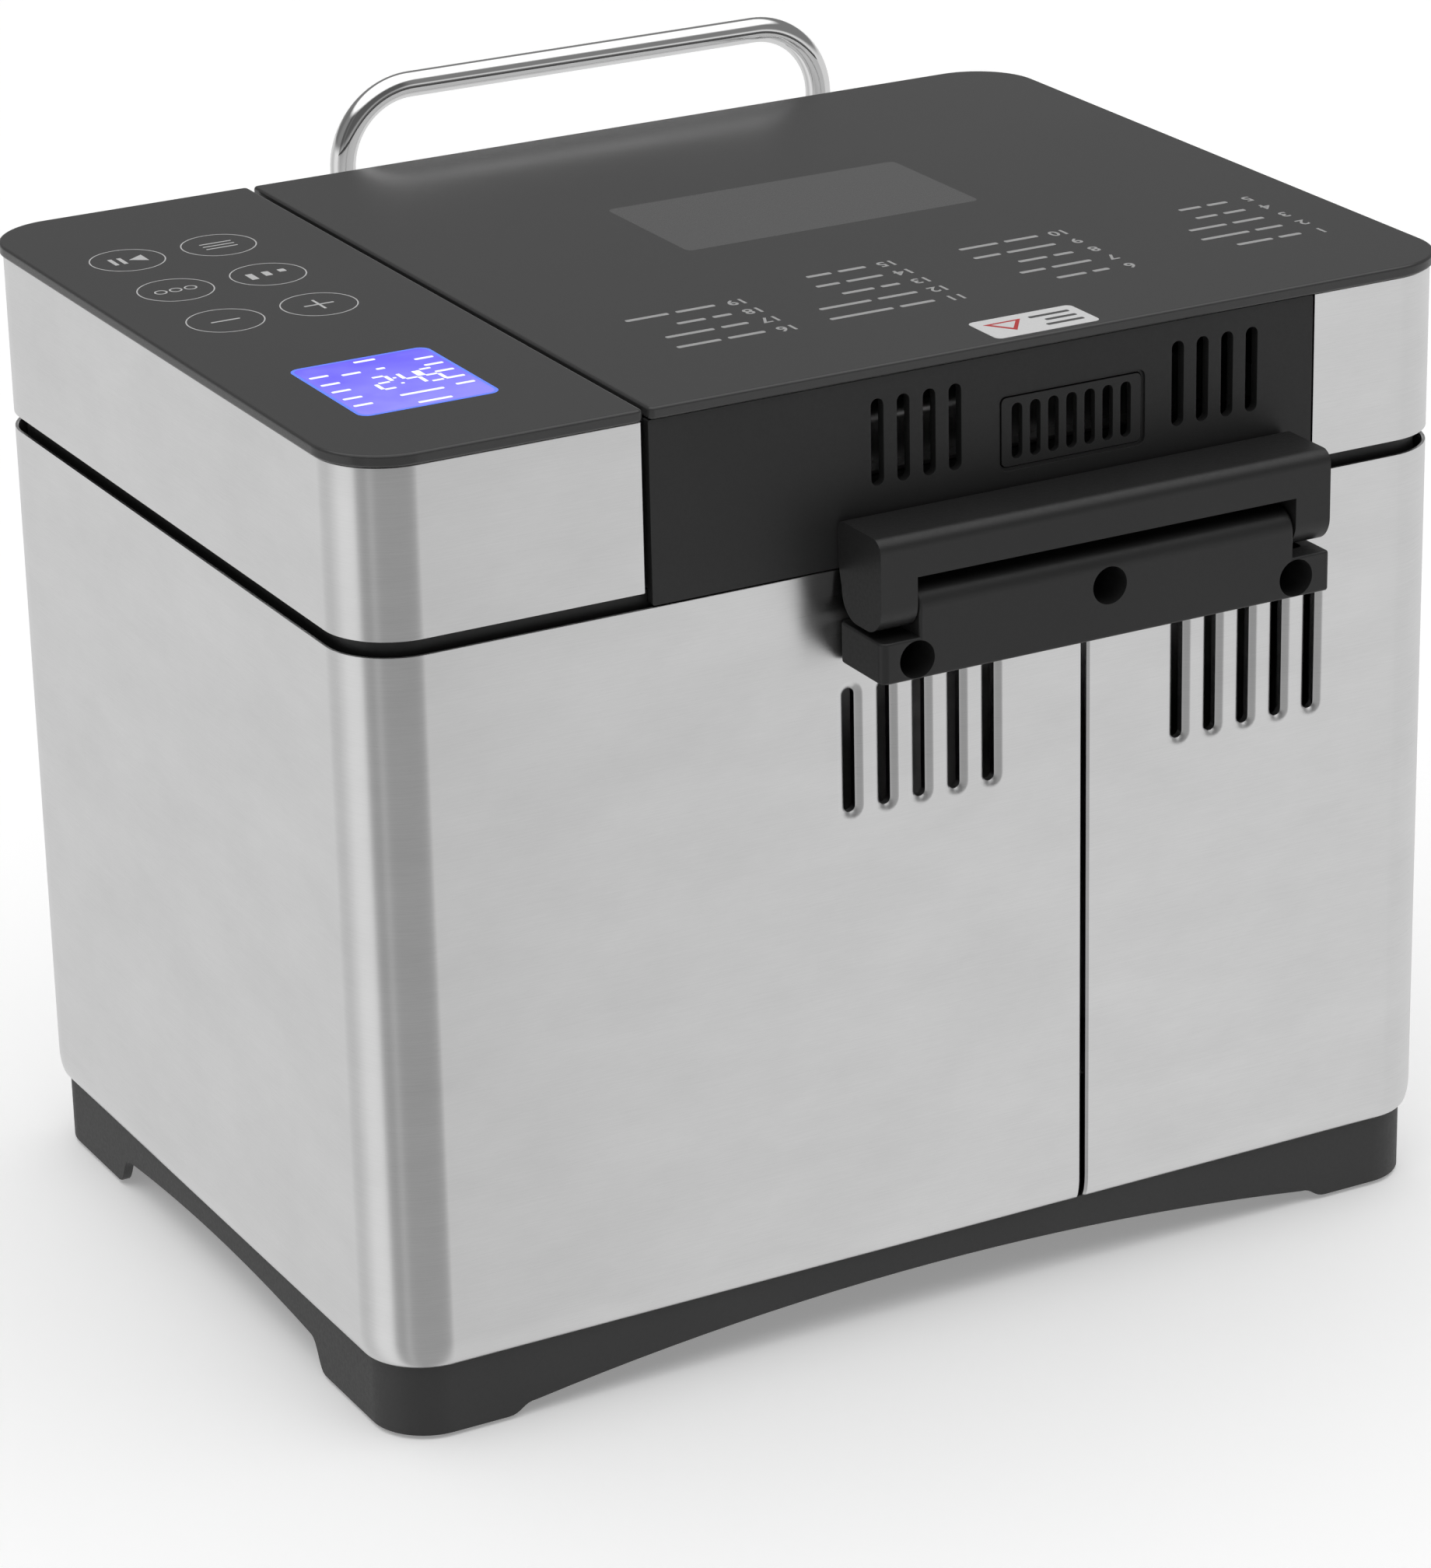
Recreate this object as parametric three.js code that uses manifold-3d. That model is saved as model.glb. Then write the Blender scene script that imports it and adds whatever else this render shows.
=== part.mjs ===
// Bread machine: a steel box on a moulded base, with a fixed control strip on the user's right,
// a hinged glass-topped lid on the left, and the oven chamber, bread pan and belt drive inside.
// Millimetres, +Z up. The user stands at -Y and the lid's hinge is at +Y.
import * as THREE from 'three';
import { mergeVertices } from 'three/addons/utils/BufferGeometryUtils.js';
import Module from 'manifold-3d';

const wasm = await Module();
wasm.setup();

// ---------------------------------------------------------------- driving dimensions
const FIT = 0.3;                 // gap between pieces that touch
const SLIP = 0.6;                // clearance of a piece that moves past another
const PAST = 5;                  // cutting shapes run this far past the faces that they cut

const WIDTH = 350;               // steel body, side to side
const DEPTH = 254;               // steel body, front to back
const CORNER_R = 20;             // vertical corners of the steel
const STEEL_T = 1;               // steel sheet
const PLASTIC_T = 3;             // moulded walls

const PAD_STAND = 1.2;           // rubber pads stand this far below the base
const PAD_R = 8;
const PAD_DEEP = 2.6;            // depth of the pad's pocket
const PAD_IN = 26;               // pad centres, in from the body's sides
const BASE_H = 22;
const BASE_IN = 3;               // base walls, in from the steel
const ARCH_RISE = 12.4;          // height of the base's arches at mid side
const ARCH_SPRING_REAR = 3.2;    // height of the front and rear arches at the feet
const ARCH_SPRING_SIDE = 9.5;    // height of the side arches at the feet
const FOOT_LEN_REAR = 34;        // foot length along the front and rear
const FOOT_LEN_SIDE = 49;        // foot length along the sides
const FOOT_STEP = 9;             // length of the step between foot and arch

const BODY_H = 211;              // lower steel wrap
const CURL = 2;                  // the wrap's bottom edge curls in this far
const CURL_H = 8;
const SEAM_X = -50;              // the wrap's joint, at the rear
const SEAM_W = 1.2;
const SHADOW_GAP = 4.4;          // dark joint between the body and what stands on it
const UPPER_H = 48.5;            // steel of the lid and control strip
const GLASS_T = 3.4;
const GLASS_OVER = 1.2;          // glass stands proud of the steel all round
const GLASS_EDGE = 0.7;
const GLASS_JOINT_R = 1.5;       // glass corners at the joint between lid and control strip

const CONTROL_W = 86.2;          // control strip, from the right side
const LID_GAP = 1.8;             // between control strip and lid
const LID_PANEL_W = 212.4;       // black plastic panel at the lid's rear
const LID_PANEL_DROP = 3.9;      // the panel's lower edge, below the lid's steel
const DOME_H = 17;               // headroom pressed into the lid's inner cover
const DOME_IN_X = 6;             // the headroom's sides, in from the chamber's
const DOME_IN_Y = 5;
const DOME_R = 18;
const BRIM_W = 7;                // inner cover's brim
const WINDOW_W = 98;
const WINDOW_D = 51;
const WINDOW_X = 3;              // window centre, from the lid's centre
const WINDOW_Y = -20;
const WINDOW_R = 4;
const WINDOW_LAP = 6;            // the inner pane laps the window by this much
const WELL_T = 1.6;
const PANE_T = 3;
const SEAL_W = 4;

const VENT_LEN = 25;             // slots in the lid's rear panel
const VENT_W = 4;
const VENT_PITCH = 8.2;
const VENT_COUNT = 4;
const VENT_OFF = 48.5;           // centre of each slot group, from the lid's centre
const VENT_Z = 30;               // centre of the slots, above the lid's steel edge
const GRILLE_W = 46;
const GRILLE_H = 20.6;
const GRILLE_BACK = 0.5;         // the grille sits this far inside the panel's two faces
const GRILLE_FRONT = 0.4;
const GRILLE_DROP = 4.7;         // grille's centre, below the slots' centre
const GRILLE_OFF = 1.6;          // grille's centre, to the left of the lid's
const GRILLE_SLOTS = 7;
const GRILLE_PITCH = 5.9;
const GRILLE_SLOT_W = 3.4;
const GRILLE_SLOT_LEN = 16.2;
const LOW_VENT_LEN = 37;         // slots in the body's rear
const LOW_VENT_W = 3.7;
const LOW_VENT_PITCH = 11.3;
const LOW_VENT_COUNT = 5;
const LOW_VENT_OFF = 54;         // centre of each group, from the seam
const LOW_VENT_Z = 157;          // centre of the slots, above the wrap's bottom edge

const HINGE_W = 146;
const HINGE_DEEP = 24;           // hinge blocks stand this far off the rear
const HINGE_ARM_W = 11.5;        // the lid block's two arms
const HINGE_TOP = 226;           // heights of the hinge, above the wrap's bottom edge
const HINGE_SLOT_TOP = 214;
const HINGE_AXIS_H = 206.3;
const HINGE_SHELF = 196.5;
const HINGE_LOW = 184.5;
const HINGE_AXIS_OUT = 16;       // the hinge's axis, out from the rear
const HINGE_ARM_R = 8;
const HINGE_ROUND = 4;
const HINGE_WALL = 2;
const HINGE_GAP = 3.8;           // between the bracket's bar and the slot above it
const BAR_ROUND = 6;
const HINGE_PIN_R = 2;
const HINGE_PIN_LEN = 24;
const HINGE_BORE_R = 5.5;        // deep counterbores for the bracket's screws
const HINGE_BORE_DEEP = 17;
const SCREW_R = 2;
const SCREW_HEAD_R = 4;
const SCREW_HEAD_H = 3;
const SCREW_GRIP = 4;            // screw beyond the steel, into the backing plate
const SCREW_IN = 11.2;           // end screws, in from the bracket's ends
const SCREW_UP_END = 5.8;        // screws, above the bracket's underside
const SCREW_UP_MID = 15.4;
const HINGE_PIN_SEAT = 14;       // pin holes run this far into the bracket

const HANDLE_D = 8;
const HANDLE_SPAN = 170;         // between the legs' centres
const HANDLE_OUT = 36;           // bar centre, out from the lid's front
const HANDLE_RISE = 66;          // bar centre, above the lid's steel edge
const HANDLE_ROOT = 22;          // the rod enters the lid at this height
const HANDLE_BEND = 24;
const HANDLE_ROOT_BEND = 13;
const HANDLE_INSIDE = 8;         // the rod's ends, inside the lid's front
const COLLAR_R = 7.5;
const COLLAR_H = 3;

const DECK_IN = 3.6;             // the deck's edge, in from the steel
const DECK_T = 7;
const DECK_RIM_W = 5;
const DECK_RIM_H = 2.8;
const DECK_HATCH_X = 20;         // wiring hatch, in from the control strip's sides
const DECK_HATCH_Y = 45;         // and in from its ends
const CHAMBER_W = 214;           // oven chamber, inside
const CHAMBER_D = 160;
const CHAMBER_R = 22;
const CHAMBER_FLOOR = 33;        // above the wrap's bottom edge
const CHAMBER_BRIM = 8;

const PAN_GAP_X = 19;            // air between the chamber and the bread pan's mouth
const PAN_GAP_Y = 17;
const PAN_W = CHAMBER_W - 2 * PAN_GAP_X;
const PAN_D = CHAMBER_D - 2 * PAN_GAP_Y;
const PAN_R = 20;
const PAN_H = 146;
const PAN_T = 1.6;
const PAN_TAPER = 0.93;          // size of the pan's bottom over its rim
const PAN_RIM = 3;
const PAN_RIM_H = 2.5;
const PAN_RING_R = 46;
const PAN_RING_H = 24;
const BAIL_D = 4;
const BAIL_DROP = 9;             // bail pivots, below the rim
const BAIL_GAP = 3;              // bail's bar, clear of the pan's rim
const BAIL_OUT = 4.5;            // bail's arms, out from the rim
const BAIL_BEND = 14;
const BAIL_EYE_R = 5;

const SHAFT_R = 4;
const DOG_R = 13;
const DOG_H = 6.5;
const LUG_IN = 4.2;              // the dog's two lugs, from the shaft's centre line
const LUG_OUT = 9;
const LUG_W = 10;
const WING_UP = 8;               // the pan shaft's cross wing, above the dog's underside
const WING_H = 4.5;
const WING_T = 5;
const PULLEY_R = 50;
const MOTOR_PULLEY_R = 8;
const PULLEY_H = 10;
const PULLEY_BASE = 7.5;         // pulleys, above the wrap's bottom edge
const BELT_T = 2.4;
const BELT_H = 7;
const BELT_GROOVE = 2.6;
const PULLEY_HUB_R = 12;
const BEARING_BODY_R = 12;       // drive bearing, through the chassis plate
const BEARING_FLANGE_R = 20;
const BEARING_H = 8.5;
const BEARING_FLANGE_T = 1.5;
const MOTOR_X = 125;
const MOTOR_R = 38;
const MOTOR_H = 58;
const MOTOR_STEP = 4;            // the motor's end bells are smaller than its core by this much
const MOTOR_BELL_LOW = 12;
const MOTOR_BELL_HIGH = 16;
const MOTOR_STAND = 6;           // motor, above the chassis plate
const MOTOR_SHAFT_R = 3;
const CHASSIS_Z = 24;            // chassis plate, above the wrap's bottom edge
const CHASSIS_T = 1.5;
const CHASSIS_IN_X = 12;         // chassis plate, in from the steel
const CHASSIS_IN_Y = 30;
const CHASSIS_R = 10;
const CHASSIS_LEG_R = 5;
const CHASSIS_LEG_IN = 12;
const HEATER_D = 6.5;
const HEATER_IN = 10;            // heater's centre line, in from the chamber's wall
const HEATER_Z = 15;             // above the chamber's floor
const HEATER_GAP = 26;           // between the heater's two legs
const HEATER_OUT = 16;           // legs' ends, outside the chamber
const HEATER_BEND = 5;
const SENSOR_Y = 38;
const SENSOR_UP = 55;            // above the chamber's floor
const SENSOR_R = 3;

// ---------------------------------------------------------------- places worked out from them
const X_RIGHT = WIDTH / 2;
const Y_REAR = DEPTH / 2;
const CONTROL_X = X_RIGHT - CONTROL_W;
const LID_X1 = CONTROL_X - LID_GAP;
const LID_CX = (LID_X1 - X_RIGHT) / 2;
const STRIP_CX = (CONTROL_X + X_RIGHT) / 2;
const Z_SHELL = PAD_STAND + BASE_H;
const Z_BODY_TOP = Z_SHELL + BODY_H;
const Z_UPPER = Z_BODY_TOP + SHADOW_GAP;
const Z_UPPER_TOP = Z_UPPER + UPPER_H;
const Z_GLASS = Z_UPPER_TOP + FIT;
const Z_DECK = Z_UPPER - DECK_RIM_H;             // deck's top, inside its rim
const Z_FLOOR = Z_SHELL + CHAMBER_FLOOR;
const Z_PAN = Z_FLOOR + PAN_RING_H + 2 * FIT;
const Z_RIM = Z_PAN + PAN_H;
const Z_CHASSIS = Z_SHELL + CHASSIS_Z;
const Z_CHASSIS_TOP = Z_CHASSIS + CHASSIS_T;
const Z_PULLEY = Z_SHELL + PULLEY_BASE;
const Z_DOG = Z_FLOOR + 1.2;
const Z_FRAME = Z_UPPER + FIT;                   // lid frame's underside
const Z_BRIM = Z_FRAME + PLASTIC_T + FIT;        // inner cover's brim
const Z_DOME = Z_BRIM + DOME_H;                  // inner cover's ceiling, above the brim
const LID_PANEL_X0 = LID_X1 - LID_PANEL_W;
const HINGE_CX = LID_CX + 1;
const HINGE_END = HINGE_W / 2;
const HINGE_MID = HINGE_END - HINGE_ARM_W - SLIP;
const HANDLE_Y = -Y_REAR - HANDLE_OUT;
const REAR_REACH = Y_REAR + HINGE_DEEP;
const FRONT_REACH = -HANDLE_Y + HANDLE_D / 2;

// ---------------------------------------------------------------- materials
const paint = (color, roughness, metalness) =>
  new THREE.MeshStandardMaterial({ color, roughness, metalness });
const steel = () => paint(0xbfc0c1, 0.36, 1);
const blackPlastic = () => paint(0x2f3032, 0.55, 0);
const basePlastic = () => paint(0x3d3e40, 0.6, 0);
const blackGlass = () => paint(0x404142, 0.2, 0);
const clearGlass = () => paint(0x9aa0a2, 0.08, 0);
const chrome = () => paint(0xd9dadb, 0.1, 1);
const rubber = () => paint(0x1d1d1e, 0.85, 0);
const zinc = () => paint(0xa5a8aa, 0.45, 1);
const aluminium = () => paint(0xb4b6b8, 0.42, 1);
const nonStick = () => paint(0x2a2a2c, 0.5, 0.2);
const silicone = () => paint(0x6a6a6c, 0.8, 0);
const board = () => paint(0x1f5a35, 0.5, 0);
const brass = () => paint(0xb99a55, 0.35, 1);

// ---------------------------------------------------------------- shape helpers
function roundRect(x0, x1, y0, y1, r00, r10 = r00, r11 = r00, r01 = r00) {
  // Corners are named by their ends: 0 for the low side, 1 for the high side, X first.
  const s = new THREE.Shape();
  s.moveTo(x0 + r00, y0);
  s.lineTo(x1 - r10, y0);
  if (r10) s.absarc(x1 - r10, y0 + r10, r10, -Math.PI / 2, 0, false);
  s.lineTo(x1, y1 - r11);
  if (r11) s.absarc(x1 - r11, y1 - r11, r11, 0, Math.PI / 2, false);
  s.lineTo(x0 + r01, y1);
  if (r01) s.absarc(x0 + r01, y1 - r01, r01, Math.PI / 2, Math.PI, false);
  s.lineTo(x0, y0 + r00);
  if (r00) s.absarc(x0 + r00, y0 + r00, r00, Math.PI, Math.PI * 1.5, false);
  return s;
}

const centredRect = (cx, cy, w, d, r) =>
  roundRect(cx - w / 2, cx + w / 2, cy - d / 2, cy + d / 2, r);

const ROUND = 5;                 // curve segments of the outlines that show

// A slab from z0 to z1. Its edges are rounded over `size` across and `rise` along Z.
function slab(shape, z0, z1, size = 0, rise = size, curveSegments = 3) {
  const g = new THREE.ExtrudeGeometry(shape, {
    depth: z1 - z0 - 2 * rise,
    bevelEnabled: size > 0,
    bevelThickness: rise,
    bevelSize: size,
    bevelOffset: -size,
    bevelSegments: 2,
    curveSegments,
  });
  return g.translate(0, 0, z0 + rise);
}

const TO_X = new THREE.Matrix4().set(0, 0, 1, 0, 1, 0, 0, 0, 0, 1, 0, 0, 0, 0, 0, 1);
const slabX = (shape, x0, x1, edge = 0) => slab(shape, x0, x1, edge, edge, 3).applyMatrix4(TO_X);
const slabY = (shape, y0, y1, segments = 4) =>
  slab(shape, -y1, -y0, 0, 0, segments).rotateX(Math.PI / 2);

const block = (x0, x1, y0, y1, z0, z1) =>
  new THREE.BoxGeometry(x1 - x0, y1 - y0, z1 - z0)
    .translate((x0 + x1) / 2, (y0 + y1) / 2, (z0 + z1) / 2);

const rodZ = (r, cx, cy, z0, z1, sides = 16) =>
  new THREE.CylinderGeometry(r, r, z1 - z0, sides).rotateX(Math.PI / 2)
    .translate(cx, cy, (z0 + z1) / 2);
const rodX = (r, x0, x1, cy, cz, sides = 14) =>
  new THREE.CylinderGeometry(r, r, x1 - x0, sides).rotateZ(Math.PI / 2)
    .translate((x0 + x1) / 2, cy, cz);
const rodY = (r, cx, y0, y1, cz, sides = 14) =>
  new THREE.CylinderGeometry(r, r, y1 - y0, sides).translate(cx, (y0 + y1) / 2, cz);

// Turns a profile of [radius, height] pairs about a vertical axis through (cx, cy).
function lathe(profile, cx, cy, z, sides = 24) {
  const points = profile.map(([r, h]) => new THREE.Vector2(r, h));
  return new THREE.LatheGeometry(points, sides).rotateX(Math.PI / 2).translate(cx, cy, z);
}

function solid(geometry) {
  const g = geometry.clone();
  g.deleteAttribute('normal');
  g.deleteAttribute('uv');
  const m = mergeVertices(g, 1e-4);
  return new wasm.Manifold(new wasm.Mesh({
    numProp: 3,
    vertProperties: Float32Array.from(m.attributes.position.array),
    triVerts: Uint32Array.from(m.index.array),
  }));
}

function geometryOf(manifold) {
  const mesh = manifold.getMesh();
  const g = new THREE.BufferGeometry();
  g.setAttribute('position', new THREE.BufferAttribute(new Float32Array(mesh.vertProperties), 3));
  g.setIndex(new THREE.BufferAttribute(new Uint32Array(mesh.triVerts), 1));
  g.computeVertexNormals();
  return g;
}

const join = (...parts) => geometryOf(parts.map(solid).reduce((a, b) => a.add(b)));
const cut = (body, ...tools) =>
  geometryOf(tools.map(solid).reduce((a, b) => a.subtract(b), solid(body)));

// ---------------------------------------------------------------- the assembly
const machine = new THREE.Group();
const housing = new THREE.Group();
housing.position.y = (FRONT_REACH - REAR_REACH) / 2;   // origin at the middle of the whole depth
machine.add(housing);

function add(name, geometry, material, place = [0, 0, 0]) {
  const mesh = new THREE.Mesh(geometry, material);
  mesh.name = name;
  mesh.position.set(...place);
  housing.add(mesh);
  return mesh;
}

// ---------------------------------------------------------------- base
// A wall outline with a foot at each end and an arch between them, as a cutting shape below it.
function archShape(halfLength, footLength, spring) {
  const inner = halfLength - footLength;
  const s = new THREE.Shape();
  s.moveTo(-inner, -1);
  s.lineTo(-inner, 0);
  s.bezierCurveTo(-inner + FOOT_STEP / 2, 0, -inner + FOOT_STEP / 2, spring, -inner + FOOT_STEP, spring);
  s.quadraticCurveTo(0, 2 * ARCH_RISE - spring, inner - FOOT_STEP, spring);
  s.bezierCurveTo(inner - FOOT_STEP / 2, spring, inner - FOOT_STEP / 2, 0, inner, 0);
  s.lineTo(inner, -1);
  s.closePath();
  return s;
}

const padPlaces = [];
for (const sx of [-1, 1]) {
  for (const sy of [-1, 1]) {
    padPlaces.push([sx * (X_RIGHT - PAD_IN), sy * (Y_REAR - PAD_IN)]);
  }
}

const GLAND_Y = -Y_REAR + 40;    // cord gland, in the base's left wall
const GLAND_Z = PAD_STAND + BASE_H / 2;
const GLAND_R = 4.5;
const GLAND_BORE = 2.6;
const GLAND_FLANGE = 2;          // flange, wider than the stem and about as thick
const GLAND_LEN = 8;

function baseTray() {
  const x = X_RIGHT - BASE_IN;
  const y = Y_REAR - BASE_IN;
  const r = CORNER_R - BASE_IN;
  const inX = x - PLASTIC_T;
  const inY = y - PLASTIC_T;
  const z0 = PAD_STAND;
  let tray = solid(slab(roundRect(-x, x, -y, y, r), z0, Z_SHELL - FIT));
  const hollow = roundRect(-inX, inX, -inY, inY, r - PLASTIC_T);
  tray = tray.subtract(solid(slab(hollow, z0 - PAST, Z_SHELL - PLASTIC_T)));
  for (const [px, py] of padPlaces) {
    tray = tray.add(solid(rodZ(PAD_R + PLASTIC_T, px, py, z0, Z_SHELL - 1)));
    tray = tray.subtract(solid(rodZ(PAD_R + FIT, px, py, z0 - PAST, z0 + PAD_DEEP)));
  }
  const front = slabY(archShape(x, FOOT_LEN_REAR, ARCH_SPRING_REAR), -WIDTH, WIDTH, 8);
  const side = slabX(archShape(y, FOOT_LEN_SIDE, ARCH_SPRING_SIDE), -WIDTH, WIDTH);
  tray = tray.subtract(solid(front.translate(0, 0, z0)));
  tray = tray.subtract(solid(side.translate(0, 0, z0)));
  tray = tray.subtract(solid(rodX(GLAND_R + FIT, -x - PAST, -inX + 1, GLAND_Y, GLAND_Z)));
  return geometryOf(tray);
}

add('base_tray', baseTray(), basePlastic());
padPlaces.forEach(([px, py], i) => {
  const top = PAD_STAND + PAD_DEEP - FIT;
  const chamfer = 0.8;
  const profile = [[0, 0], [PAD_R - chamfer, 0], [PAD_R, chamfer], [PAD_R, top], [0, top]];
  add(`foot_pad_${i + 1}`, lathe(profile, px, py, 0, 16), rubber());
});

function cordGland() {
  const flange = GLAND_R + GLAND_FLANGE;
  return lathe([[GLAND_BORE, 0], [flange, 0], [flange, GLAND_FLANGE], [GLAND_R, GLAND_FLANGE],
    [GLAND_R, GLAND_LEN], [GLAND_BORE, GLAND_LEN], [GLAND_BORE, 0]], 0, 0, 0, 16).rotateY(Math.PI / 2);
}

add('cord_gland', cordGland(), rubber(), [-X_RIGHT + BASE_IN - GLAND_FLANGE - FIT, GLAND_Y, GLAND_Z]);

// ---------------------------------------------------------------- body
function slotZ(cx, length, width, y0, y1, cz) {
  return slabY(centredRect(cx, cz, width, length, width / 2 - 0.01), y0, y1, 3);
}

const hingeScrews = [
  [HINGE_CX + HINGE_END - SCREW_IN, HINGE_LOW + SCREW_UP_END],
  [HINGE_CX, HINGE_LOW + SCREW_UP_MID],
  [HINGE_CX - HINGE_END + SCREW_IN, HINGE_LOW + SCREW_UP_END],
];

function bodyWrap() {
  const high = Z_BODY_TOP + CURL_H;
  const outline = roundRect(-X_RIGHT, X_RIGHT, -Y_REAR, Y_REAR, CORNER_R);
  const outer = slab(outline, Z_SHELL, high, CURL, CURL_H, ROUND);
  const x = X_RIGHT - STEEL_T;
  const y = Y_REAR - STEEL_T;
  const hollow = roundRect(-x, x, -y, y, CORNER_R - STEEL_T);
  const inner = slab(hollow, Z_SHELL - 0.01, high + 1, CURL, CURL_H, ROUND);
  let wrap = solid(outer).subtract(solid(inner));
  wrap = wrap.subtract(solid(block(-WIDTH, WIDTH, -DEPTH, DEPTH, Z_BODY_TOP, high + PAST)));
  wrap = wrap.subtract(solid(block(SEAM_X - SEAM_W / 2, SEAM_X + SEAM_W / 2, 0, DEPTH, 0, high)));
  for (const side of [-1, 1]) {
    for (let i = 0; i < LOW_VENT_COUNT; i++) {
      const sx = SEAM_X + side * LOW_VENT_OFF + (i - (LOW_VENT_COUNT - 1) / 2) * LOW_VENT_PITCH;
      const slot = slotZ(sx, LOW_VENT_LEN, LOW_VENT_W, Y_REAR - PAST, Y_REAR + PAST, Z_SHELL + LOW_VENT_Z);
      wrap = wrap.subtract(solid(slot));
    }
  }
  for (const [hx, hz] of hingeScrews) {
    wrap = wrap.subtract(solid(rodY(SCREW_R + FIT, hx, Y_REAR - PAST, Y_REAR + PAST, Z_SHELL + hz)));
  }
  return geometryOf(wrap);
}

function topDeck() {
  const x = X_RIGHT - DECK_IN;
  const y = Y_REAR - DECK_IN;
  const r = CORNER_R - DECK_IN;
  const rim = DECK_RIM_W;
  const rise = Z_DECK + DECK_T;
  const plate = slab(roundRect(-x, x, -y, y, r), Z_DECK - DECK_T, Z_UPPER - FIT);
  const well = slab(roundRect(-x + rim, x - rim, -y + rim, y - rim, r - rim), Z_DECK, rise);
  const low = Z_DECK - DECK_T - PAST;
  const room = STEEL_T + SLIP;
  const mouth = centredRect(LID_CX, 0, CHAMBER_W + 2 * room, CHAMBER_D + 2 * room, CHAMBER_R + room);
  const hatch = centredRect(STRIP_CX, 0, CONTROL_W - 2 * DECK_HATCH_X, DEPTH - 2 * DECK_HATCH_Y, 6);
  return cut(plate, well, slab(mouth, low, rise), slab(hatch, low, rise));
}

add('body_wrap', bodyWrap(), steel());
add('top_deck', topDeck(), blackPlastic());
add('chassis_plate', chassisPlate(), zinc());

function chassisPlate() {
  const x = X_RIGHT - CHASSIS_IN_X;
  const y = Y_REAR - CHASSIS_IN_Y;
  const plate = slab(roundRect(-x, x, -y, y, CHASSIS_R), Z_CHASSIS, Z_CHASSIS_TOP);
  const legs = [];
  for (const sx of [-1, 1]) {
    for (const sy of [-1, 1]) {
      const lx = sx * (x - CHASSIS_LEG_IN);
      const ly = sy * (y - CHASSIS_LEG_IN);
      legs.push(rodZ(CHASSIS_LEG_R, lx, ly, Z_SHELL, Z_CHASSIS + CHASSIS_T / 2, 12));
    }
  }
  const shaftHole = rodZ(BEARING_BODY_R + FIT, LID_CX, 0, Z_CHASSIS - PAST, Z_CHASSIS + PAST);
  const motorHole = rodZ(MOTOR_PULLEY_R + 2, MOTOR_X, 0, Z_CHASSIS - PAST, Z_CHASSIS + PAST);
  return cut(join(plate, ...legs), shaftHole, motorHole);
}

// ---------------------------------------------------------------- oven chamber
function openBox(cx, w, d, r, z0, z1, wall) {
  const outer = slab(centredRect(cx, 0, w + 2 * wall, d + 2 * wall, r + wall), z0, z1);
  const inner = slab(centredRect(cx, 0, w, d, r), z0 + wall, z1 + 1);
  return cut(outer, inner);
}

const SENSOR_Z = Z_FLOOR + SENSOR_UP;
const WALL_X = LID_CX + CHAMBER_W / 2;

function ovenChamber() {
  const brimZ = Z_DECK + FIT;
  const box = openBox(LID_CX, CHAMBER_W, CHAMBER_D, CHAMBER_R, Z_FLOOR - STEEL_T, brimZ + STEEL_T, STEEL_T);
  const outline = centredRect(LID_CX, 0, CHAMBER_W + 2 * CHAMBER_BRIM, CHAMBER_D + 2 * CHAMBER_BRIM,
    CHAMBER_R + CHAMBER_BRIM);
  const brim = slab(outline, brimZ, brimZ + STEEL_T);
  const mouth = slab(centredRect(LID_CX, 0, CHAMBER_W, CHAMBER_D, CHAMBER_R), Z_DECK - PAST, Z_DECK + PAST);
  const holes = [rodZ(SHAFT_R + SLIP, LID_CX, 0, Z_FLOOR - PAST, Z_FLOOR + PAST)];
  for (const sy of [-1, 1]) {
    const hy = sy * HEATER_GAP / 2;
    holes.push(rodX(HEATER_D / 2 + FIT, WALL_X - 2, WALL_X + PAST, hy, Z_FLOOR + HEATER_Z));
  }
  holes.push(rodX(SENSOR_R + FIT, WALL_X - 2, WALL_X + PAST, SENSOR_Y, SENSOR_Z));
  return cut(join(box, cut(brim, mouth)), ...holes);
}

// The heater is one rod: in through the wall, round the floor, and out beside its start.
function heater() {
  const hx = CHAMBER_W / 2 - HEATER_IN;
  const hy = CHAMBER_D / 2 - HEATER_IN;
  const leg = HEATER_GAP / 2;
  const out = CHAMBER_W / 2 + HEATER_OUT;
  const wide = CHAMBER_R - HEATER_IN / 2 + 1;
  const corners = [[out, leg], [hx, leg], [hx, hy], [-hx, hy], [-hx, -hy], [hx, -hy], [hx, -leg],
    [out, -leg]];
  const radii = [0, HEATER_BEND, wide, wide, wide, wide, HEATER_BEND, 0];
  const at = (p) => new THREE.Vector3(LID_CX + p[0], p[1], Z_FLOOR + HEATER_Z);
  return roundedRod(corners.map(at), radii, HEATER_D / 2, 58, 8);
}

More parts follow.
